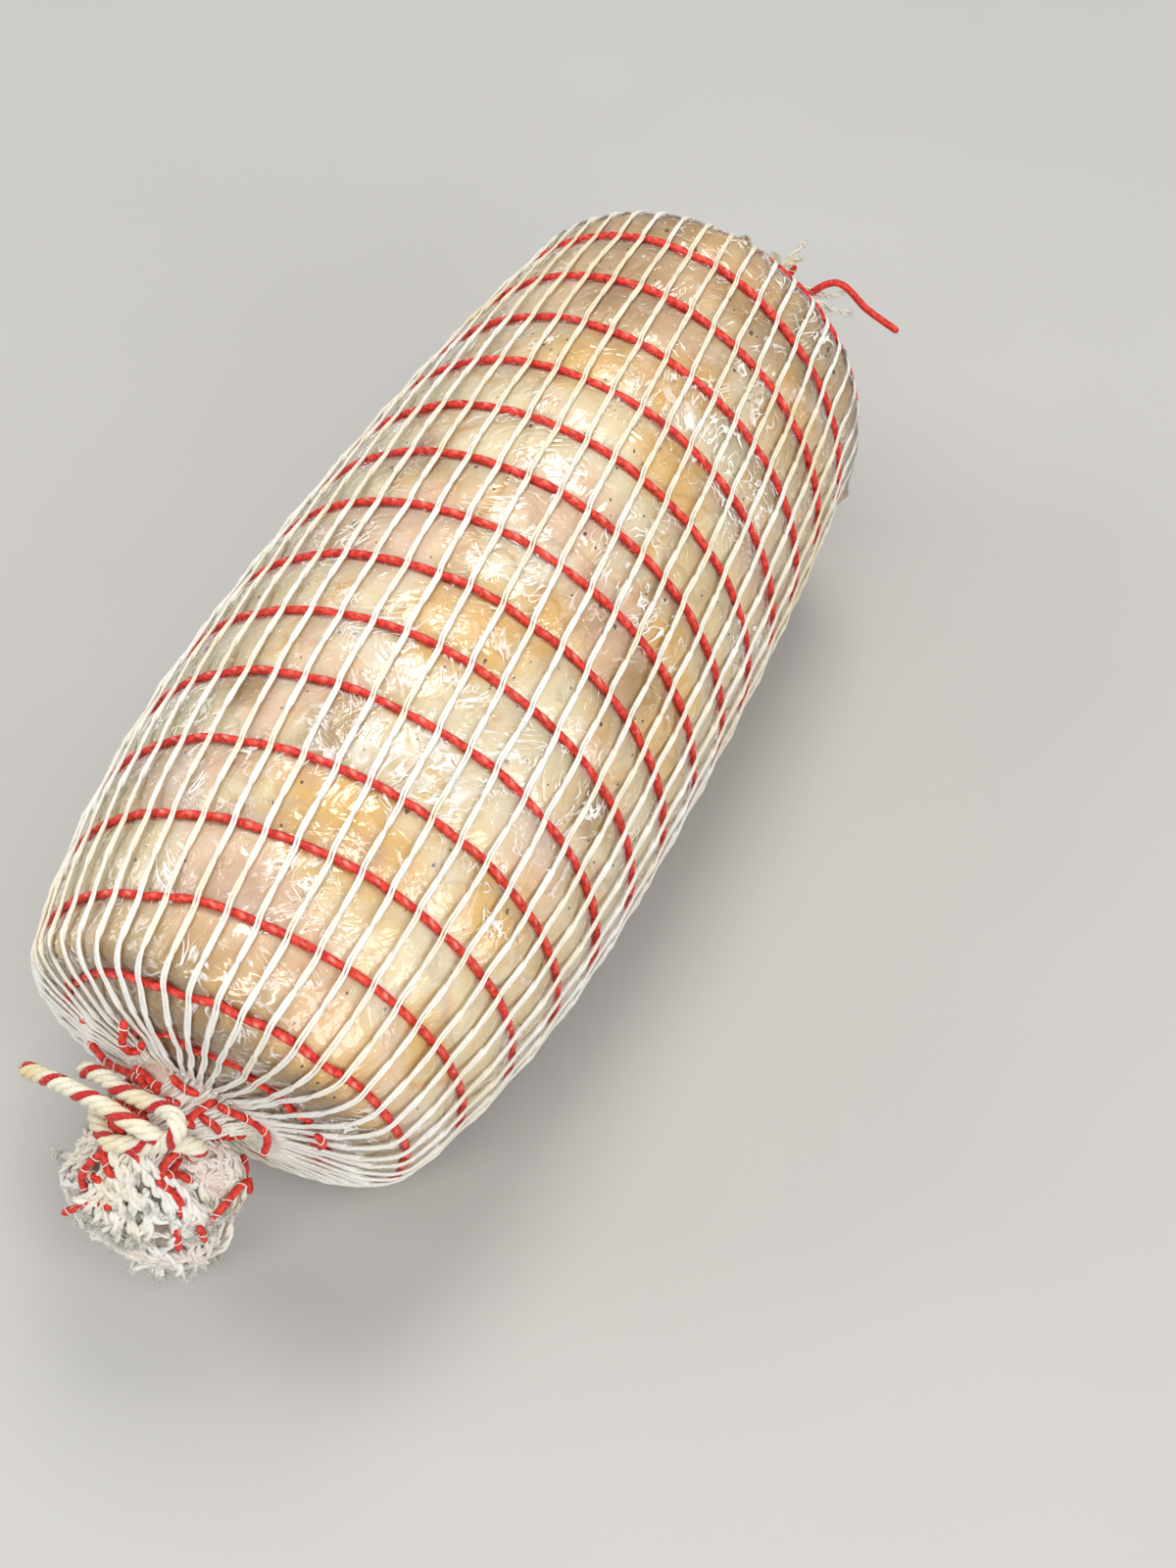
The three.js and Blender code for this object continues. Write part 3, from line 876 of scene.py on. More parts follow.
def bundle_sections(tie, bundle):
    """Each section of a bundle with the centre of the one before it."""
    centres = [tie.centre] + [np.array(section[0], float) for section in bundle]
    return list(zip(bundle, centres))


def gathered_angle(angle, rng):
    """Strands come into the neck in loose bunches of two or three."""
    bunch = TURN / 20
    centre = (math.floor(angle / bunch) + 0.5) * bunch
    return centre + 0.6 * (angle - centre) + rng.normal(0, 0.03)


def gathered_cords(shape, tie, bundle, near, rng, tips=None):
    """The strands beyond the end face: in to the neck, under the tie and out into the tuft."""
    sections = bundle_sections(tie, bundle)
    end = NECK_ARC if near else SKIN_LENGTH - NECK_ARC
    inward = -1 if near else 1
    tip_places = []
    for number in range(STRAND_COUNT):
        angle = float(strand_angle(number, end))
        gathered = gathered_angle(angle, rng)
        layer = rng.uniform(-0.5, 0.75)
        points = [
            skin(end - inward, angle, 1.2),
            skin(end + 1.8 * inward, 0.6 * angle + 0.4 * gathered, 1.9 + 0.4 * layer),
            tie.beside(gathered, tie.neck_radius + layer, -NECK_LENGTH / 2 - 0.8),
            tie.beside(gathered, tie.neck_radius - 0.3, 0),
            tie.beside(angle, tie.neck_radius + 0.3 * layer, NECK_LENGTH / 2),
        ]
        wander = angle + rng.normal(0, 0.2)
        for section in sections:
            wander += rng.normal(0, 0.22)
            points.append(bundle_point(section, wander, rng.uniform(0.72, 1.0)))
        if tips is None:
            down = points[-1] - sections[-2][0][0]
            points.append(points[-1] + down / np.linalg.norm(down) * rng.uniform(0.5, 4.5))
        elif number % 3 == 0:
            tip = np.array(tips[number // 3 % len(tips)], float) + rng.normal(0, 0.9, 3)
            points.append(0.5 * (points[-1] + tip))
            points.append(tip)
        knitted_cord(shape, smooth_path(points, 40), rng.uniform(0.58, 0.78), rng)
        tip_places.append((points[-1], points[-1] - points[-2]))
    return tip_places


def tuft_core(shape, tie, bundle, near, noise, shrink):
    """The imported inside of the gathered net, that shows between the outer cords."""
    around = angles_round(56)
    end = NECK_ARC - 0.7 if near else SKIN_LENGTH - NECK_ARC + 0.7
    rings = [skin(end, around, -1.6)]
    for share, shift in ((0.8, -NECK_LENGTH / 2), (0.82, 0.0), (0.85, NECK_LENGTH / 2)):
        rings.append(tie.beside(around, tie.neck_radius * share, shift))
    for section in bundle_sections(tie, bundle):
        rings.append(np.array([bundle_point(section, a, shrink) for a in around]))
    rings = np.array(rings)
    fine = [smooth_path(rings[:, column], 60) for column in range(len(around))]
    shape.tube(lumpy(np.array(fine).transpose(1, 0, 2), noise))


def lumpy(rings, noise):
    """Rings pushed in and out so that a packed mass looks like tangled yarn."""
    outward = rings - rings.mean(axis=1, keepdims=True)
    outward /= np.linalg.norm(outward, axis=-1, keepdims=True)
    pushed = 0.8 * (1 - 2 * np.abs(noise(rings, 1.9))) + 0.4 * noise(rings + 50, 5)
    return rings + outward * pushed[..., None]


def tangle(shape, surface, count, rng, half_width):
    """Cords that lie every way over a surface, given as a function of a place along it and an angle."""
    for _ in range(count):
        place, angle = rng.uniform(0.02, 0.98), rng.uniform(0, TURN)
        heading = rng.uniform(0, TURN)
        points = []
        for _ in range(int(rng.integers(5, 11))):
            points.append(surface(place, angle, rng.uniform(0.97, 1.07)))
            heading += rng.normal(0, 0.55)
            place = float(np.clip(place + 0.07 * math.sin(heading), 0, 1))
            angle += 0.3 * math.cos(heading)
        knitted_cord(shape, smooth_path(points, 40), half_width * rng.uniform(0.85, 1.2), rng, stitch=3.2)


def over_bundle(sections):
    """The surface of a bundle beyond a tie, closed over its end."""
    last = len(sections) - 1

    def surface(place, angle, share):
        low = min(int(place * last), last - 1)
        part = place * last - low
        near = bundle_point(sections[low], angle, share)
        return near + part * (bundle_point(sections[low + 1], angle, share) - near)

    return surface


def over_neck(tie, end):
    """The cone of gathered net between an end face and its tie."""

    def surface(place, angle, share):
        face = skin(end, angle, 1.3 * share)
        return face + place * (tie.beside(angle, tie.neck_radius * share, -NECK_LENGTH / 2) - face)

    return surface


def evened(path, radii, steps):
    """A path and the radius round it, at even steps."""
    radius = np.interp(np.linspace(0, 1, steps), np.linspace(0, 1, len(radii)), radii)
    return smooth_path(path, steps), radius


def over_lump(path, radii):
    """The surface of a soft lump round a path."""
    steps = 40
    path, radius = evened(path, radii, steps)
    side, other = path_frames(path)

    def surface(place, angle, share):
        i = int(place * (steps - 1))
        return path[i] + share * radius[i] * (math.cos(angle) * side[i] + math.sin(angle) * other[i])

    return surface


def soaked_lump(shape, path, radii, noise):
    """A soft lump of net that is stained by the meat."""
    path, radius = evened(path, radii, 34)
    shape.tube(lumpy(rings_along(path, 0.86 * radius, 40), noise))


def white_ties_on(shape, path, rng, every):
    """White thread loops round a piece of elastic."""
    side, other = path_frames(path)
    count = max(int(path_length(path) / every), 1)
    for k in range(count):
        i = int((k + rng.uniform(0.3, 0.7)) * len(path) / count)
        i = min(max(i, 1), len(path) - 2)
        angle = np.linspace(0, TURN, 15)[:-1]
        ring = path[i] + (ELASTIC_RADIUS + 0.08) * (
            np.cos(angle)[:, None] * side[i] + np.sin(angle)[:, None] * other[i]
        )
        tangent = path[i + 1] - path[i - 1]
        ring = ring + 0.5 * np.sin(angle)[:, None] * tangent / np.linalg.norm(tangent)
        closed = np.concatenate([ring, ring[:1]])
        shape.tube(rings_along(closed, 0.12, 5))


def loose_elastic(shape, threads, path, rng, every=4.0):
    """A cut piece of elastic, with the white threads that are still tied to it."""
    steps = max(int(path_length(smooth_path(path, 30)) / 0.6), 6)
    path = smooth_path(path, steps)
    swell = 1 + 0.05 * rng.normal(0, 1, steps)
    shape.tube(rings_along(path, 0.95 * ELASTIC_RADIUS * swell * rounded_ends(steps, 0.55, 0.94), 10))
    white_ties_on(threads, path, rng, every)


# Slack elastic that lies over the strands of the near face, as pixels
NEAR_SLACK = [
    [(126, 1042), (126, 1054), (125, 1065), (132, 1073), (142, 1071), (145, 1064)],
    [(222, 1128), (233, 1134), (256, 1144), (268, 1153), (273, 1165), (268, 1180)],
    [(322, 1158), (330, 1166), (326, 1172)],
]
# Elastic that is gathered into the near neck, as pixels
NECK_REDS = [
    [(92, 1062), (100, 1074), (112, 1086), (133, 1096), (142, 1104)],
    [(137, 1089), (147, 1096), (155, 1105), (162, 1116)],
    [(150, 1116), (158, 1110), (164, 1105)],
    [(168, 1120), (176, 1125), (184, 1127)],
    [(175, 1098), (183, 1107), (193, 1113), (203, 1117)],
    [(188, 1145), (199, 1137), (213, 1127), (222, 1124)],
    [(118, 1122), (127, 1129), (137, 1135)],
    [(139, 1131), (145, 1139), (151, 1148)],
    [(108, 1143), (117, 1150), (127, 1157)],
    [(83, 1042), (89, 1038)],
]
# Cut pieces of elastic in the tuft, as pixels
NEAR_TUFT_REDS = [
    [(126, 1169), (137, 1178), (146, 1185), (152, 1192)],
    [(104, 1168), (107, 1182), (110, 1194), (116, 1201)],
    [(158, 1197), (170, 1199), (184, 1199), (196, 1206)],
    [(164, 1196), (170, 1186), (178, 1178), (187, 1175)],
    [(176, 1196), (180, 1187), (186, 1178)],
    [(161, 1203), (166, 1208), (175, 1216), (184, 1228), (185, 1243)],
    [(180, 1250), (181, 1262), (182, 1276)],
    [(204, 1252), (209, 1267)],
    [(247, 1178), (250, 1188), (250, 1200)],
    [(250, 1200), (254, 1208), (255, 1218)],
    [(228, 1243), (234, 1238), (241, 1231)],
    [(103, 1177), (94, 1185), (87, 1193), (83, 1203), (88, 1216)],
    [(93, 1199), (98, 1203), (103, 1206)],
    [(92, 1226), (85, 1229), (74, 1234), (64, 1238)],
    [(100, 1229), (112, 1233)],
]
# The long cut piece on the tuft's right: pixels, and how far before the tuft's middle
STRAIGHT_RED = [(211, 1250, 11), (228, 1231, 11), (244, 1212, 9), (256, 1203, 7)]
# Cut cords of the tuft, as pixels
NEAR_TUFT_CORDS = [
    [(108, 1160), (113, 1172), (119, 1192), (130, 1208), (137, 1224), (134, 1240)],
    [(124, 1162), (129, 1170), (142, 1190), (155, 1210), (168, 1225), (175, 1244)],
    [(140, 1176), (150, 1188), (165, 1200), (184, 1214), (197, 1234), (214, 1255)],
    [(205, 1172), (216, 1172), (227, 1179), (233, 1194), (238, 1211), (240, 1228)],
    [(98, 1200), (104, 1212), (118, 1222), (126, 1238), (120, 1254)],
    [(112, 1200), (124, 1214), (142, 1222), (158, 1232), (150, 1248), (138, 1262)],
    [(150, 1214), (146, 1230), (160, 1246), (172, 1244), (186, 1250)],
    [(92, 1222), (104, 1232), (112, 1246), (106, 1256)],
    [(166, 1216), (178, 1226), (190, 1240), (186, 1254), (196, 1262)],
    [(206, 1200), (214, 1214), (222, 1232), (216, 1246)],
    [(190, 1186), (202, 1196), (206, 1214), (212, 1228)],
    [(122, 1190), (132, 1200), (128, 1216), (138, 1228), (152, 1232)],
    [(96, 1208), (92, 1218), (84, 1224), (76, 1222)],
    [(106, 1226), (100, 1238), (96, 1250)],
    [(116, 1236), (118, 1250), (120, 1266)],
    [(128, 1238), (134, 1254), (131, 1272)],
    [(146, 1240), (152, 1254), (150, 1266)],
    [(106, 1214), (94, 1226), (88, 1238)],
]
# The part of the net that is soaked and matted: pixels, and how far before the tuft's middle
SOAKED_LUMP = [(178, 1177, 12), (206, 1184, 7), (220, 1203, 5), (224, 1223, 4), (215, 1244, 4)]
SOAKED_RADII = [2.6, 4.6, 5.2, 4.6, 2.2]
# The section that closes the matted cords under the tuft
TUFT_FOOT = ((-127.6, 4, 13.5), 2.5, 1.75)


def random_tuft_cords(shape, count, rng):
    """Cut cords of the net that stand out of the tuft on every side and hang over one another."""
    sections = bundle_sections(NEAR_TIE, NEAR_BUNDLE)
    tips = []
    for k in range(count):
        angle = TURN * (k + rng.uniform(0, 1)) / count
        points = [NEAR_TIE.beside(angle, 6.5, 2.5)]
        last = int(rng.integers(2, 5))
        for section in sections[:last]:
            angle += rng.normal(0, 0.42)
            points.append(bundle_point(section, angle, rng.uniform(0.92, 1.12)))
        points.append(points[-1] + rng.normal(0, 1.7, 3) + np.array([0, 0, -1.2]))
        knitted_cord(shape, smooth_path(points, 40), rng.uniform(0.72, 0.98), rng, stitch=3.6, sides=6)
        tips.append((points[-1], points[-1] - points[-2]))
    return tips


def neck_elastic(reds, threads, rng):
    """Pieces of elastic that are drawn in with the net all round the neck."""
    for k in range(9):
        angle = TURN * (k + rng.uniform(0, 0.6)) / 9 + np.linspace(0, rng.uniform(0.5, 0.9), 5)
        inward = np.linspace(rng.uniform(0.1, 0.5), rng.uniform(0.4, 0.95), 5)[:, None]
        face = skin(NECK_ARC - 0.5, angle, 1.4)
        path = face + inward * (NEAR_TIE.beside(angle, NEAR_TIE.neck_radius + 0.2, -NECK_LENGTH / 2) - face)
        loose_elastic(reds, threads, path + rng.normal(0, 0.35, path.shape), rng, 3.0)


def hidden_tuft_reds(rng):
    """Cut pieces of elastic on the sides of the tuft that the photograph doesn't show."""
    sections = bundle_sections(NEAR_TIE, NEAR_BUNDLE)
    for k in range(8):
        angle = -2.3 + 2.4 * (k + rng.uniform(0, 0.8)) / 8
        first = int(rng.integers(0, 3))
        here, beyond = sections[first : first + 2]
        between = 0.5 * (bundle_point(here, angle, 1.12) + bundle_point(beyond, angle + 0.4, 1.12))
        end = bundle_point(beyond, angle + rng.uniform(0.1, 0.9), 1.06)
        yield [bundle_point(here, angle, 1.08), between, end]


FIBRE_RADIUS = 0.085


def fluff(shape, tips, rng, count, length, spread):
    """Cut yarn ends that have opened into cotton."""
    for tip, direction in tips:
        direction = direction / max(np.linalg.norm(direction), 1e-6)
        frayed_end(shape, tip - 0.6 * direction, direction, rng, count, length, spread, FIBRE_RADIUS)


def cotton_ball(shape, middle, rng, count, radius):
    """Loose cotton: fine fibres that lie every way in a soft ball."""
    for _ in range(count):
        base = middle + 0.5 * radius * rng.normal(0, 1, 3)
        heading = rng.normal(0, 1, 3) + 0.5 * (base - middle) / radius
        length = radius * rng.uniform(0.5, 1.1)
        shape.cone(base, base + heading / np.linalg.norm(heading) * length, FIBRE_RADIUS)


def make_near_mass(lump, packed, soaked, rng):
    """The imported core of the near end, and the soaked cords that are matted over it."""
    core = Shape()
    tuft_core(core, NEAR_TIE, NEAR_BUNDLE, True, FOLDS[5], 0.74)
    soaked_lump(core, lump, SOAKED_RADII, FOLDS[5])
    # The core's yarn is darker than the cords over it: stain, and painted shade
    core.piece("near_tuft_core", packed, ["near_net_end"])
    closing = (TUFT_FOOT, np.array(NEAR_BUNDLE[-1][0], float))
    sections = [*bundle_sections(NEAR_TIE, NEAR_BUNDLE), closing]
    matted = Shape()
    tangle(matted, over_bundle(sections), 60, rng, half_width=0.8)
    tangle(matted, over_lump(lump, SOAKED_RADII), 62, rng, half_width=0.72)
    tangle(matted, over_neck(NEAR_TIE, NECK_ARC - 3), 16, rng, half_width=0.65)
    matted.piece("near_tuft_matted", soaked)


def make_near_cords(lump, yarn, rng):
    """The clean cords of the near end, with cotton where they are cut."""
    net = Shape()
    tips = gathered_cords(net, NEAR_TIE, NEAR_BUNDLE, True, rng)
    tangle(net, over_neck(NEAR_TIE, NECK_ARC - 3), 14, rng, half_width=0.6)
    tangle(net, over_lump(lump, SOAKED_RADII), 7, rng, half_width=0.85)
    tips += random_tuft_cords(net, 40, rng)
    for pixels in NEAR_TUFT_CORDS:
        points = carried(pixels, 1.1, [NET_END])
        knitted_cord(net, smooth_path(points, 40), rng.uniform(0.98, 1.15), rng, stitch=3.8, sides=8)
        tips.append((points[-1], points[-1] - points[-2]))
    net.piece("near_tuft_yarn", yarn, ["near_net_end"])
    cotton = Shape()
    fluff(cotton, tips, rng, count=26, length=2.4, spread=1.2)
    for tip, _ in tips[STRAND_COUNT::3] + tips[-len(NEAR_TUFT_CORDS) :]:
        cotton_ball(cotton, tip, rng, count=170, radius=1.3)
    cotton.piece("near_tuft_cotton", yarn)


def make_near_elastic(elastic, yarn, rng):
    """Slack, gathered and cut elastic of the near end."""
    threads = Shape()
    reds = Shape()
    neck_elastic(reds, threads, rng)
    paths = [carried(pixels, 3.0, [NET_END, MEAT]) for pixels in NEAR_SLACK]
    paths += [carried(pixels, 0.9, [NET_END, MEAT]) for pixels in NECK_REDS]
    paths += [carried(pixels, 1.2, [NET_END]) for pixels in NEAR_TUFT_REDS]
    for path in [*paths, in_front_of(TUFT_MIDDLE, STRAIGHT_RED), *hidden_tuft_reds(rng)]:
        loose_elastic(reds, threads, np.array(path), rng)
    reds.piece("near_tuft_elastic", elastic)
    threads.piece("near_tuft_threads", yarn)


def make_near_end(yarn, elastic, soaked, packed):
    rng = np.random.default_rng(55)
    lump = in_front_of(TUFT_MIDDLE, SOAKED_LUMP)
    make_near_mass(lump, packed, soaked, rng)
    make_near_cords(lump, yarn, rng)
    make_near_elastic(elastic, yarn, rng)


FAR_CUT_ELASTIC = [
    [(125, -6, 61), (128, -8, 66), (129.5, -9.5, 70.5)],
    [(126, -12, 60), (129.5, -14, 66), (130.5, -15.5, 70)],
    [(126, -1, 57), (130, 1, 60), (132.5, 0, 64)],
]
TAIL_STEPS = 170


def make_far_cords(yarn, packed, rng):
    """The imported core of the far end, its cords, and cotton where they are cut."""
    core = Shape()
    tuft_core(core, FAR_TIE, FAR_BUNDLE, False, FOLDS[5], 0.8)
    # The core's yarn is darker than the cords over it: stain, and painted shade
    core.piece("far_tuft_core", packed, ["far_net_end"])
    net = Shape()
    tangle(net, over_bundle(bundle_sections(FAR_TIE, FAR_BUNDLE)), 14, rng, half_width=0.65)
    tangle(net, over_neck(FAR_TIE, SKIN_LENGTH - NECK_ARC + 3), 10, rng, half_width=0.6)
    tips = gathered_cords(net, FAR_TIE, FAR_BUNDLE, False, rng, FAR_TIPS)
    net.piece("far_tuft_yarn", yarn, ["far_net_end"])
    cotton = Shape()
    fluff(cotton, tips, rng, count=16, length=2.0, spread=1.0)
    for tip, _ in tips[::12]:
        cotton_ball(cotton, tip, rng, count=90, radius=1.0)
    cotton.piece("far_tuft_cotton", yarn)


def make_far_end(yarn, elastic, packed):
    rng = np.random.default_rng(77)
    make_far_cords(yarn, packed, rng)
    threads = Shape()
    tail = Shape()
    around = np.linspace(TAIL_START - TURN * 0.98, TAIL_START, 60)
    winding = FAR_TIE.beside(around, FAR_TIE.neck_radius + FIT_GAP + 0.85)
    marks = np.concatenate([winding[:-3:4], winding[-1:], np.array(ELASTIC_TAIL)])
    radius = 0.86 * rounded_ends(TAIL_STEPS, 0.6, 0.95)
    tail.tube(rings_along(smooth_path(marks, TAIL_STEPS), radius, 10))
    tail.piece("elastic_tail_cord", elastic, ["elastic_tail"])
    white_ties_on(threads, winding, rng, 5)
    for number, path in enumerate(FAR_CUT_ELASTIC, 1):
        cut = Shape()
        loose_elastic(cut, threads, np.array(path, float), rng)
        cut.piece(f"far_cut_elastic_{number}", elastic)
    threads.piece("far_tuft_threads", yarn)


# The twine

# Pixels, and how far each place is before the middle of the near tie. The first end lies across
# the knot, the second goes up over it as a loop and back
TWINE_END_A = [
    (26, 1091, -2.1), (44, 1098, 1.4), (67, 1108, 5.4), (90, 1120, 8.5), (112, 1132, 11.2),
    (134, 1146, 13), (154, 1157, 12.9), (176, 1165, 11.1), (203, 1172, 7.3),
]
TWINE_END_B = [
    (112, 1166, 9.8), (130, 1168, 10.6), (148, 1170, 10.6), (168, 1167, 12.7), (180, 1157, 15.3),
    (180, 1143, 15.3), (170, 1133, 12.9), (156, 1127, 10.3), (140, 1120, 9), (122, 1111, 7),
    (109, 1101, 4.6), (96, 1094, 2.4), (84, 1091, 0),
]
TWINE_STEP = 0.4
TWINE_PLIES = 4
TWINE_LAY = 9.0


def twine_path():
    """One length of twine: an end, once round behind the neck, a front wrap, the loop and an end."""
    behind = np.radians(np.linspace(205, 432, 24))
    distance = NEAR_TIE.neck_radius + FIT_GAP + TWINE_RADIUS
    wrap = NEAR_TIE.beside(behind, distance, np.linspace(-0.9, 0.4, 24))
    first, last = in_front_of(NEAR_TIE.centre, TWINE_END_A), in_front_of(NEAR_TIE.centre, TWINE_END_B)
    return smooth_path([*first, *wrap, *last], 420)


def twist(white, red, path, rng):
    """Plies laid round a path, one of them red, with loose fibres."""
    steps = int(path_length(path) / TWINE_STEP)
    path = smooth_path(path, steps)
    side, other = path_frames(path)
    angle = -TURN * np.arange(steps) * TWINE_STEP / TWINE_LAY
    apart = TWINE_RADIUS * 0.55
    for ply in range(TWINE_PLIES):
        turned = angle + TURN * ply / TWINE_PLIES
        centre = path + apart * (np.cos(turned)[:, None] * side + np.sin(turned)[:, None] * other)
        (red if ply == 0 else white).tube(ply_rings(centre, TWINE_RADIUS * 0.46))
    fuzz(white, path, TWINE_RADIUS * 0.9, rng, per_mm=9.0, length=1.0, radius=0.035)


def ply_rings(path, radius, sides=12, yarns=4, lay=3.4, depth=0.1):
    """Rings round a ply whose surface shows the fine yarns that it is spun from."""
    length = lengths_along(path)
    angle = angles_round(sides)
    ridge = np.abs(np.cos(0.5 * yarns * (angle[None] + TURN * length[:, None] / lay)))
    ends = np.minimum(1, 0.5 + np.minimum(length, length[-1] - length) / (1.5 * radius))
    return rings_along(path, radius * (1 - depth + 1.6 * depth * ridge) * ends[:, None], sides)


def make_twine(twine_white, twine_red):
    rng = np.random.default_rng(91)
    white = Shape()
    red = Shape()
    path = twine_path()
    twist(white, red, path, rng)
    cut_red = Shape()
    for tip, inside in ((path[0], path[6]), (path[-1], path[-7])):
        direction = (tip - inside) / np.linalg.norm(tip - inside)
        base = tip - 0.5 * direction
        frayed_end(white, base, direction, rng, count=60, length=2.4, spread=0.75, radius=0.09)
        base = tip - 0.4 * direction
        frayed_end(cut_red, base, direction, rng, count=16, length=2.0, spread=0.5, radius=0.12)
    white.piece("twine_white_plies", twine_white, ["twine"])
    red.piece("twine_red_ply", twine_red, ["twine"])
    cut_red.piece("twine_red_ends", twine_red)


# Materials

class Look:
    """A node material that is built up node by node."""

    def __init__(self, name):
        self.material = bpy.data.materials.new(name)
        self.material.use_nodes = True
        self.tree = self.material.node_tree
        self.tree.nodes.clear()
        self.output = self.tree.nodes.new("ShaderNodeOutputMaterial")
        self.place = self.add("ShaderNodeTexCoord").outputs["Object"]

    def add(self, kind, inputs=None, **settings):
        node = self.tree.nodes.new(kind)
        for key, value in settings.items():
            setattr(node, key, value)
        for key, value in (inputs or {}).items():
            self.feed(node.inputs[key], value)
        return node

    def feed(self, socket, value):
        if isinstance(value, bpy.types.NodeSocket):
            self.tree.links.new(value, socket)
        else:
            socket.default_value = value

    def drawn_out(self, place, share):
        """A place shrunk along X, so that a pattern read there is drawn out along it."""
        return self.add("ShaderNodeMapping", {"Vector": place, "Scale": (share, 1, 1)}).outputs[0]

    def turned(self, place, axis, angle):
        return self.add("ShaderNodeVectorRotate", {"Vector": place, "Axis": axis, "Angle": angle}).outputs[0]

    def cells(self, scale, place=None, feature="F1", **inputs):
        inputs["Vector"] = self.place if place is None else place
        return self.add("ShaderNodeTexVoronoi", {"Scale": scale, **inputs}, feature=feature).outputs

    def channels(self, colour):
        return self.add("ShaderNodeSeparateColor", {"Color": colour}).outputs

    def tints(self):
        """The vertex colours that blots and bare places are kept in: three channels and alpha."""
        layer = self.add("ShaderNodeVertexColor", layer_name="tints").outputs
        return [*self.channels(layer["Color"]), layer["Alpha"]]

    def noise(self, scale, detail=3.0, roughness=0.55, distortion=0.0, place=None):
        place = self.place if place is None else place
        inputs = {"Vector": place, "Scale": scale, "Detail": detail, "Roughness": roughness}
        return self.add("ShaderNodeTexNoise", {**inputs, "Distortion": distortion}).outputs["Fac"]

    def ramp(self, value, low, high, to_low=0.0, to_high=1.0):
        node = self.add(
            "ShaderNodeMapRange",
            {"Value": value, "From Min": low, "From Max": high, "To Min": to_low, "To Max": to_high},
            interpolation_type="SMOOTHSTEP",
        )
        return node.outputs["Result"]

    def mix(self, factor, a, b, blend="MIX"):
        node = self.add("ShaderNodeMix", data_type="RGBA", blend_type=blend)
        self.feed(node.inputs[0], factor)
        self.feed(node.inputs[6], a)
        self.feed(node.inputs[7], b)
        return node.outputs[2]

    def steps(self, value, colours):
        node = self.add("ShaderNodeValToRGB", {"Fac": value})
        stops = node.color_ramp.elements
        while len(stops) < len(colours):
            stops.new(0.5)
        for k, colour in enumerate(colours):
            stops[k].position = k / (len(colours) - 1)
            stops[k].color = colour
        return node.outputs["Color"]

    def math(self, operation, a, b):
        node = self.add("ShaderNodeMath", operation=operation)
        self.feed(node.inputs[0], a)
        self.feed(node.inputs[1], b)
        return node.outputs[0]

    def plus(self, a, b):
        return self.math("ADD", a, b)

    def times(self, a, b):
        return self.math("MULTIPLY", a, b)

    def larger(self, a, b):
        return self.math("MAXIMUM", a, b)

    def bump(self, height, distance, strength):
        inputs = {"Height": height, "Distance": distance, "Strength": strength}
        return self.add("ShaderNodeBump", inputs).outputs[0]

    def principled(self, **inputs):
        node = self.add("ShaderNodeBsdfPrincipled", {k.replace("_", " "): v for k, v in inputs.items()})
        self.feed(self.output.inputs["Surface"], node.outputs[0])


CREAM = (0.90, 0.72, 0.41, 1)
PALE = (0.94, 0.84, 0.62, 1)
YELLOW = (0.94, 0.67, 0.20, 1)
GOLD = (0.84, 0.52, 0.17, 1)
PINK = (0.88, 0.63, 0.45, 1)
ROSE = (0.72, 0.48, 0.35, 1)
TAN = (0.54, 0.34, 0.13, 1)
GREEN = (0.72, 0.66, 0.38, 1)
BROWN = (0.36, 0.21, 0.11, 1)
PEPPER = (0.06, 0.045, 0.035, 1)


def wandering_place(look):
    """The place on the meat, moved a little to and fro, so that its pieces have uneven edges."""
    bent = look.add("ShaderNodeTexNoise", {"Vector": look.place, "Scale": 48, "Detail": 3}).outputs["Color"]
    bend = look.add("ShaderNodeVectorMath", {0: bent, 1: (0.5, 0.5, 0.5)}, operation="SUBTRACT").outputs[0]
    bend = look.add("ShaderNodeVectorMath", {0: bend, "Scale": 0.03}, operation="SCALE").outputs[0]
    return look.add("ShaderNodeVectorMath", {0: look.place, 1: bend}, operation="ADD").outputs[0]


def meat_pieces(look, place):
    """Meat and fat in pieces, with the blots of the photograph. Also gives a shade for each piece."""
    pieces = look.cells(32, place, "SMOOTH_F1", Smoothness=0.5)
    kind, shade, _ = look.channels(pieces["Color"])
    colours = [CREAM, PALE, PINK, CREAM, PALE, CREAM, GOLD, PALE]
    colour = look.steps(look.ramp(kind, 0.18, 0.82), colours)
    colour = look.mix(look.ramp(look.noise(55, 2, 0.5, distortion=1.0), 0.45, 0.65, 0, 0.6), colour, PALE)
    fat, pink, brown, pale = look.tints()
    colour = look.mix(look.times(pink, 0.75), colour, PINK)
    colour = look.mix(look.times(pale, 0.8), colour, PALE)
    colour = look.mix(look.times(fat, 0.85), colour, look.mix(look.noise(90, 2), YELLOW, GOLD))
    return look.mix(look.times(brown, 0.7), colour, TAN), shade


def meat_fibres(look, place):
    """Fibres that run another way in every piece."""
    lie = look.channels(look.cells(40, place)["Color"])[1]
    turned = look.turned(place, (0.2, 0.3, 0.93), look.times(lie, 2.6))
    return look.noise(360, 4, 0.6, place=look.drawn_out(turned, 0.16))


def ends_side_and_bottom_tones(look, colour):
    """Darker, yellower ends, a greener far side, and darker and browner toward the bottom."""
    x, y, z = look.add("ShaderNodeSeparateXYZ", {"Vector": look.place}).outputs
    end = look.plus(look.ramp(x, -0.088, -0.108), look.ramp(x, 0.03, 0.112))
    ends = look.mix(look.ramp(look.noise(45, 3), 0.4, 0.62), TAN, GOLD)
    colour = look.mix(look.times(end, 0.62), colour, ends)
    colour = look.mix(look.ramp(y, 0.012, 0.046, 0, 0.5), colour, GREEN)
    return look.mix(look.ramp(z, 0.045, 0.0, 0, 0.35), colour, TAN)


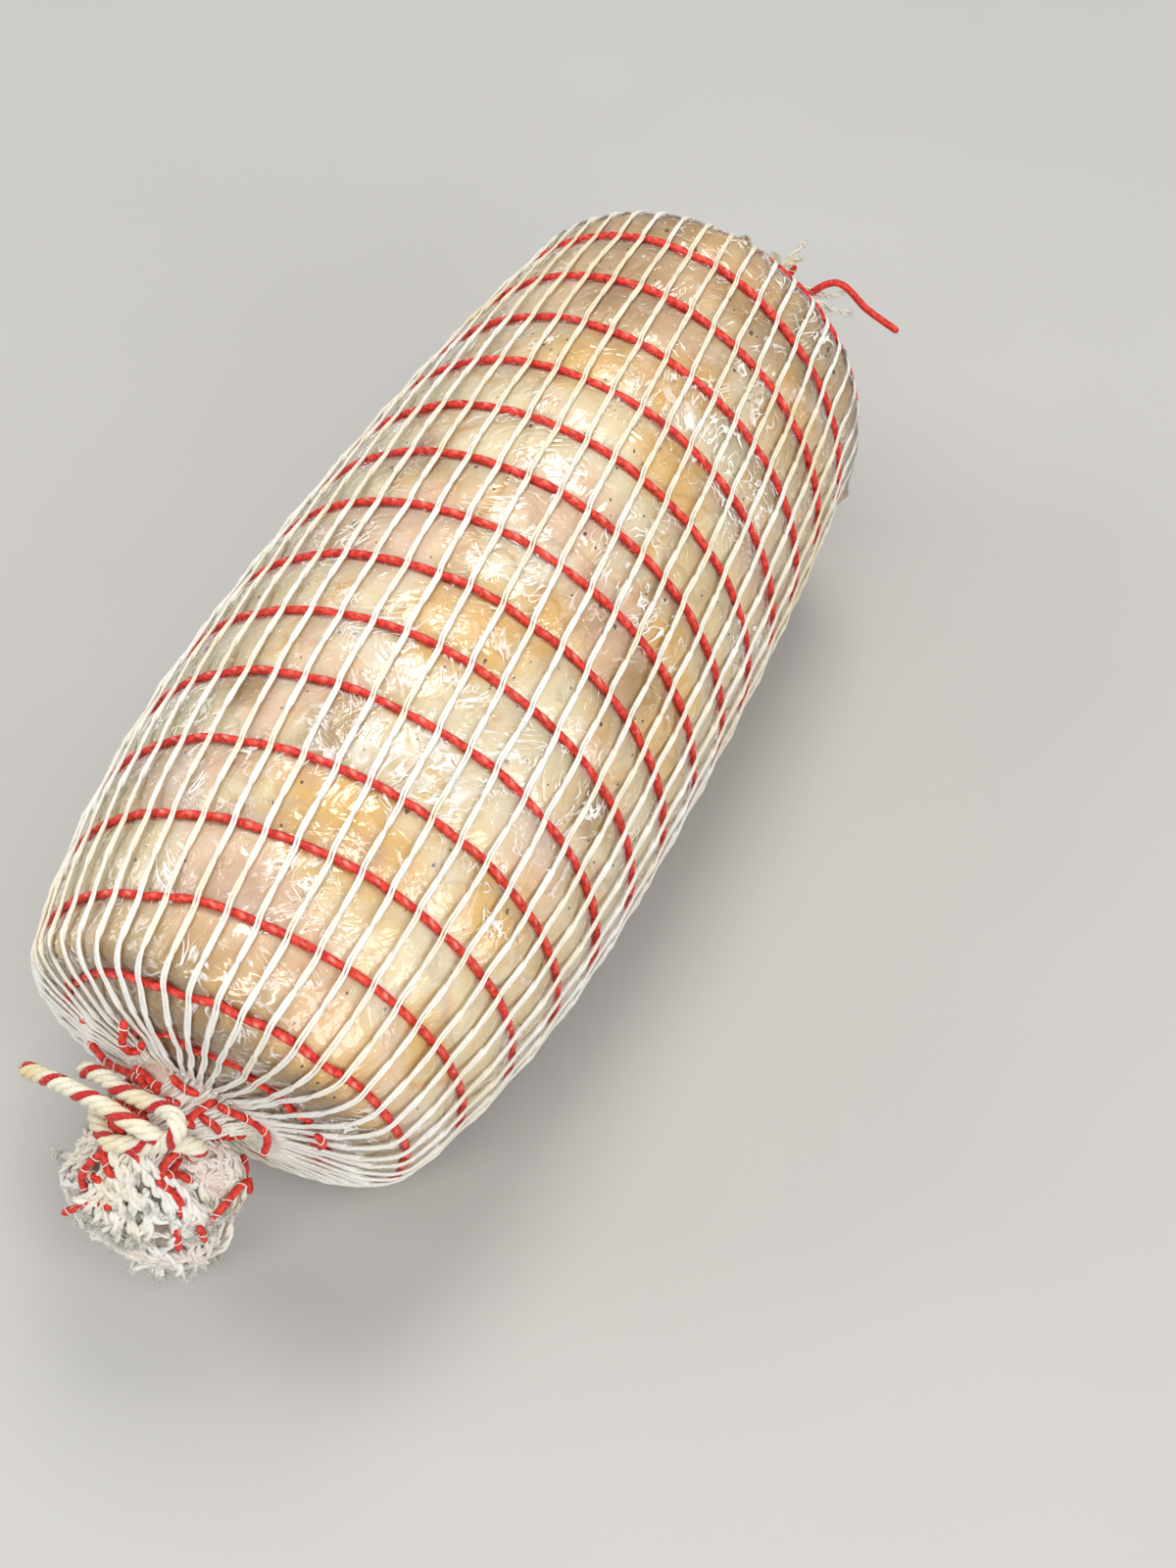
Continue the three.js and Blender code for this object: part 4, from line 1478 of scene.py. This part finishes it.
def fine_specks(look):
    """Dust of pepper in a few of many small cells."""
    cells = look.cells(170)
    chosen = look.channels(cells["Color"])[0]
    speck = look.times(look.ramp(cells["Distance"], 0.11, 0.05), look.ramp(chosen, 0.8, 0.81))
    return look.times(speck, 0.7)


def meat_look():
    """Pieces of pale and pink meat and yellow fat, each with its own run of fibres."""
    look = Look("chicken_meat")
    place = wandering_place(look)
    colour, shade = meat_pieces(look, place)
    fibres = meat_fibres(look, place)
    colour = look.mix(look.ramp(fibres, 0.5, 0.72, 0, 0.5), colour, PALE)
    colour = look.mix(look.ramp(fibres, 0.45, 0.28, 0, 0.4), colour, TAN)
    edge = look.cells(32, place, "DISTANCE_TO_EDGE")["Distance"]
    seam = look.mix(look.ramp(shade, 0.45, 0.55), BROWN, PALE)
    colour = look.mix(look.ramp(edge, 0.04, 0.0, 0, 0.25), colour, seam)
    colour = ends_side_and_bottom_tones(look, colour)
    colour = look.mix(look.ramp(look.noise(75, 4, 0.6), 0.56, 0.72, 0, 0.5), colour, ROSE)
    colour = look.mix(fine_specks(look), colour, BROWN)
    look.principled(
        Base_Color=colour,
        Roughness=look.ramp(look.noise(90, 3), 0.3, 0.7, 0.32, 0.5),
        Normal=look.bump(look.plus(look.noise(110, 3), look.times(fibres, 0.4)), 0.0007, 0.5),
        Subsurface_Weight=0.15,
        Subsurface_Radius=(0.004, 0.002, 0.001),
    )
    return look.material


def pepper_look():
    look = Look("pepper")
    tone = look.mix(look.ramp(look.noise(500, 3), 0.4, 0.65), PEPPER, (0.17, 0.11, 0.06, 1))
    look.principled(Base_Color=tone, Roughness=0.6, Normal=look.bump(look.noise(2500, 2), 0.0002, 0.6))
    return look.material


def film_creases(look):
    """Coarse and fine creases, which run another way in every patch of film."""
    lie = look.channels(look.cells(55)["Color"])[0]
    turned = look.turned(look.place, (0.1, -0.2, 0.97), look.times(lie, 3.0))
    drawn = look.drawn_out(turned, 0.3)
    for scale, width, bend in ((95, 0.022, 2.0), (230, 0.03, 1.2)):
        middle = look.math("SUBTRACT", look.noise(scale, 2, 0.5, distortion=bend, place=drawn), 0.5)
        yield look.ramp(look.math("ABSOLUTE", middle, 0), width, 0.15 * width)


def film_cover(look, coarse, fine, folded, white):
    """Where the film is white: in streaks that are partly whitened folds and partly painted glints, in
    patches of painted glare, and in a thin veil.
    """
    broken = look.ramp(look.noise(200, 2), 0.4, 0.54)
    # White streaks on the creases: partly the whiteness of folded film, partly painted glints
    streaks = look.times(look.larger(coarse, look.times(fine, 0.8)), folded)
    streaks = look.times(streaks, look.times(broken, 0.9))
    veil = look.ramp(look.noise(45, 3, 0.5, distortion=1.0), 0.5, 0.78, 0.01, 0.22)
    patches = look.ramp(look.noise(120, 4, 0.65, distortion=1.5), 0.42, 0.7)
    # Patches of painted glare: white where the tint marks a highlight on the film
    painted_glare_patches = look.times(look.times(white, patches), 0.6)
    return look.larger(look.larger(streaks, veil), painted_glare_patches)


def film_relief(look, coarse, fine, folded):
    """Wide waves with the creases pressed into them."""
    ripple = look.times(fine, look.plus(0.03, look.times(folded, 0.16)))
    wide = look.times(look.noise(60, 3, 0.5, distortion=1.6), 1.3)
    height = look.plus(wide, look.plus(ripple, look.times(coarse, 0.12)))
    return look.bump(height, 0.0015, 0.9)


def film_look():
    """Clear film: a gloss broken by fine creases, and white streaks where it is folded, which are partly
    painted glints.
    """
    look = Look("clear_film")
    # white marks where a highlight is painted on the film
    crumpled, white, smooth, _ = look.tints()
    coarse, fine = film_creases(look)
    folded = look.larger(look.ramp(look.noise(42, 3, 0.6), 0.48, 0.62, 0.12, 0.9), crumpled)
    folded = look.times(folded, look.math("SUBTRACT", 1, look.times(smooth, 0.8)))
    normal = film_relief(look, coarse, fine, folded)
    gloss = look.add("ShaderNodeBsdfGlossy", {"Roughness": 0.075, "Normal": normal, "Color": (1, 1, 1, 1)})
    clear = look.add("ShaderNodeBsdfTransparent")
    fresnel = look.add("ShaderNodeFresnel", {"IOR": 1.5}).outputs[0]
    shine = look.math("MINIMUM", look.times(fresnel, 1.8), 1)
    surface = look.add("ShaderNodeMixShader", {0: shine, 1: clear.outputs[0], 2: gloss.outputs[0]})
    # A white diffuse layer: the film's own haze, with painted glints on the streaks and painted glare
    white_haze_and_painted_glare = look.add("ShaderNodeBsdfDiffuse", {"Color": (1.0, 0.99, 0.95, 1)})
    cover = film_cover(look, coarse, fine, folded, white)
    final = look.add("ShaderNodeMixShader", {0: cover, 1: surface.outputs[0], 2: white_haze_and_painted_glare.outputs[0]})
    look.feed(look.output.inputs["Surface"], final.outputs[0])
    return look.material


def yarn_look(name, colour, stain, stain_amount, shadow=(0.45, 0.42, 0.33, 1), far_stain=0.0):
    """Cotton yarn that is stained here and there, and more toward the roll's far end, with painted shade
    between its fibres.
    """
    look = Look(name)
    tone = look.mix(look.ramp(look.noise(50, 4), 0.42, 0.72, 0, stain_amount), colour, stain)
    x = look.add("ShaderNodeSeparateXYZ", {"Vector": look.place}).outputs[0]
    patches = look.ramp(look.noise(24, 2), 0.35, 0.6)
    tone = look.mix(look.times(look.ramp(x, -0.01, 0.07, 0, far_stain), patches), tone, stain)
    fibres = look.noise(2300, 3, 0.7, place=look.drawn_out(look.place, 0.35))
    # Painted shade between the fibres
    tone = look.mix(look.ramp(fibres, 0.3, 0.52, 0.3, 0), tone, shadow)
    look.principled(
        Base_Color=tone,
        Roughness=0.92,
        Normal=look.bump(fibres, 0.0004, 0.8),
        Specular_IOR_Level=0.2,
        Sheen_Weight=0.12,
        Sheen_Roughness=0.5,
    )
    return look.material


def elastic_look():
    look = Look("red_elastic")
    mottle = look.noise(850, 3, 0.6)
    colour = look.mix(look.ramp(mottle, 0.36, 0.62), (0.46, 0.017, 0.012, 1), (0.80, 0.055, 0.033, 1))
    # Pale spots: painted highlights on top of the bulges, with the rubber core showing
    glint_and_core_spots = look.tints()[0]
    colour = look.mix(look.times(glint_and_core_spots, 0.8), colour, (0.95, 0.40, 0.30, 1))
    look.principled(
        Base_Color=colour,
        Roughness=look.ramp(mottle, 0.3, 0.7, 0.6, 0.38),
        Normal=look.bump(mottle, 0.0005, 0.7),
        Specular_IOR_Level=0.35,
    )
    return look.material


def floor_look():
    look = Look("pale_floor")
    tone = look.mix(look.noise(8, 3), (0.50, 0.49, 0.47, 1), (0.54, 0.53, 0.51, 1))
    look.principled(Base_Color=tone, Roughness=0.8)
    return look.material


# Camera, floor and lights

def make_camera():
    data = bpy.data.cameras.new("camera")
    data.lens = 49.5
    data.sensor_width = 36
    data.clip_start = 0.01
    camera = bpy.data.objects.new("camera", data)
    camera.location = Vector(EYE) * MM
    camera.rotation_euler = Vector(FORWARD).to_track_quat("-Z", "Y").to_euler()
    bpy.context.collection.objects.link(camera)
    bpy.context.scene.camera = camera


def make_floor():
    mesh = bpy.data.meshes.new("floor")
    half = 12.0
    corners = [(-half, -half, 0), (half, -half, 0), (half, half, 0), (-half, half, 0)]
    mesh.from_pydata(corners, [], [(0, 1, 2, 3)])
    mesh.materials.append(floor_look())
    floor = bpy.data.objects.new("floor", mesh)
    bpy.context.collection.objects.link(floor)


def area_light(name, place, aim, size, power, colour=(1, 1, 1), spin=0.0):
    data = bpy.data.lights.new(name, "AREA")
    data.shape = "RECTANGLE"
    data.size, data.size_y = size
    data.energy = power
    data.color = colour
    light = bpy.data.objects.new(name, data)
    light.location = Vector(place)
    facing = (Vector(aim) - Vector(place)).to_track_quat("-Z", "Y").to_matrix()
    light.rotation_euler = (facing @ Matrix.Rotation(spin, 3, "Z")).to_euler()
    bpy.context.collection.objects.link(light)


def make_lights():
    centre = (0, 0, 0.05)
    area_light("key", (0.42, 0.06, 1.06), centre, (0.42, 0.46), 4.8, (1.0, 0.98, 0.94))
    area_light("strip", (-0.5, -0.22, 0.95), centre, (1.3, 0.16), 4.6, (1.0, 0.99, 0.97), math.radians(20))
    area_light("fill", (-0.45, -0.95, 0.6), centre, (0.8, 0.6), 5.6)
    area_light("side", (-0.35, 0.9, 0.7), centre, (0.6, 0.6), 4.0)
    world = bpy.data.worlds.new("studio")
    bpy.context.scene.world = world
    world.use_nodes = True
    background = world.node_tree.nodes["Background"]
    background.inputs["Color"].default_value = (0.97, 0.98, 1, 1)
    background.inputs["Strength"].default_value = 0.38
    bpy.context.scene.view_settings.view_transform = "Standard"


# Yarns: a colour, its stain, how much of it is stained, and the painted shade between its fibres
NET_COTTON = ((0.93, 0.915, 0.86, 1), (0.86, 0.74, 0.47, 1), 0.6, (0.55, 0.52, 0.43, 1))
SOAKED_COTTON = ((0.88, 0.80, 0.73, 1), (0.78, 0.58, 0.50, 1), 0.7, (0.45, 0.32, 0.27, 1))
# The core of each tuft: stained, and darker than the cords over it as painted shade of the tuft's inside
CORE_COTTON_STAINED_AND_SHADED = ((0.74, 0.63, 0.55, 1), (0.66, 0.42, 0.35, 1), 0.7, (0.36, 0.24, 0.2, 1))
TWINE_WHITE = ((0.88, 0.83, 0.68, 1), (0.78, 0.60, 0.28, 1), 0.85)
TWINE_RED = ((0.55, 0.03, 0.03, 1), (0.62, 0.08, 0.06, 1), 0.4, (0.25, 0.01, 0.01, 1))


def main():
    make_camera()
    make_floor()
    make_lights()
    yarn = yarn_look("net_yarn", *NET_COTTON, far_stain=0.6)
    soaked = yarn_look("soaked_yarn", *SOAKED_COTTON)
    packed = yarn_look("core_yarn_stained_and_shaded", *CORE_COTTON_STAINED_AND_SHADED)
    elastic = elastic_look()
    make_roll(meat_look(), film_look())
    make_net(yarn, elastic)
    make_near_end(yarn, elastic, soaked, packed)
    make_far_end(yarn, elastic, packed)
    make_twine(yarn_look("twine_cotton", *TWINE_WHITE), yarn_look("twine_red_cotton", *TWINE_RED))


main()
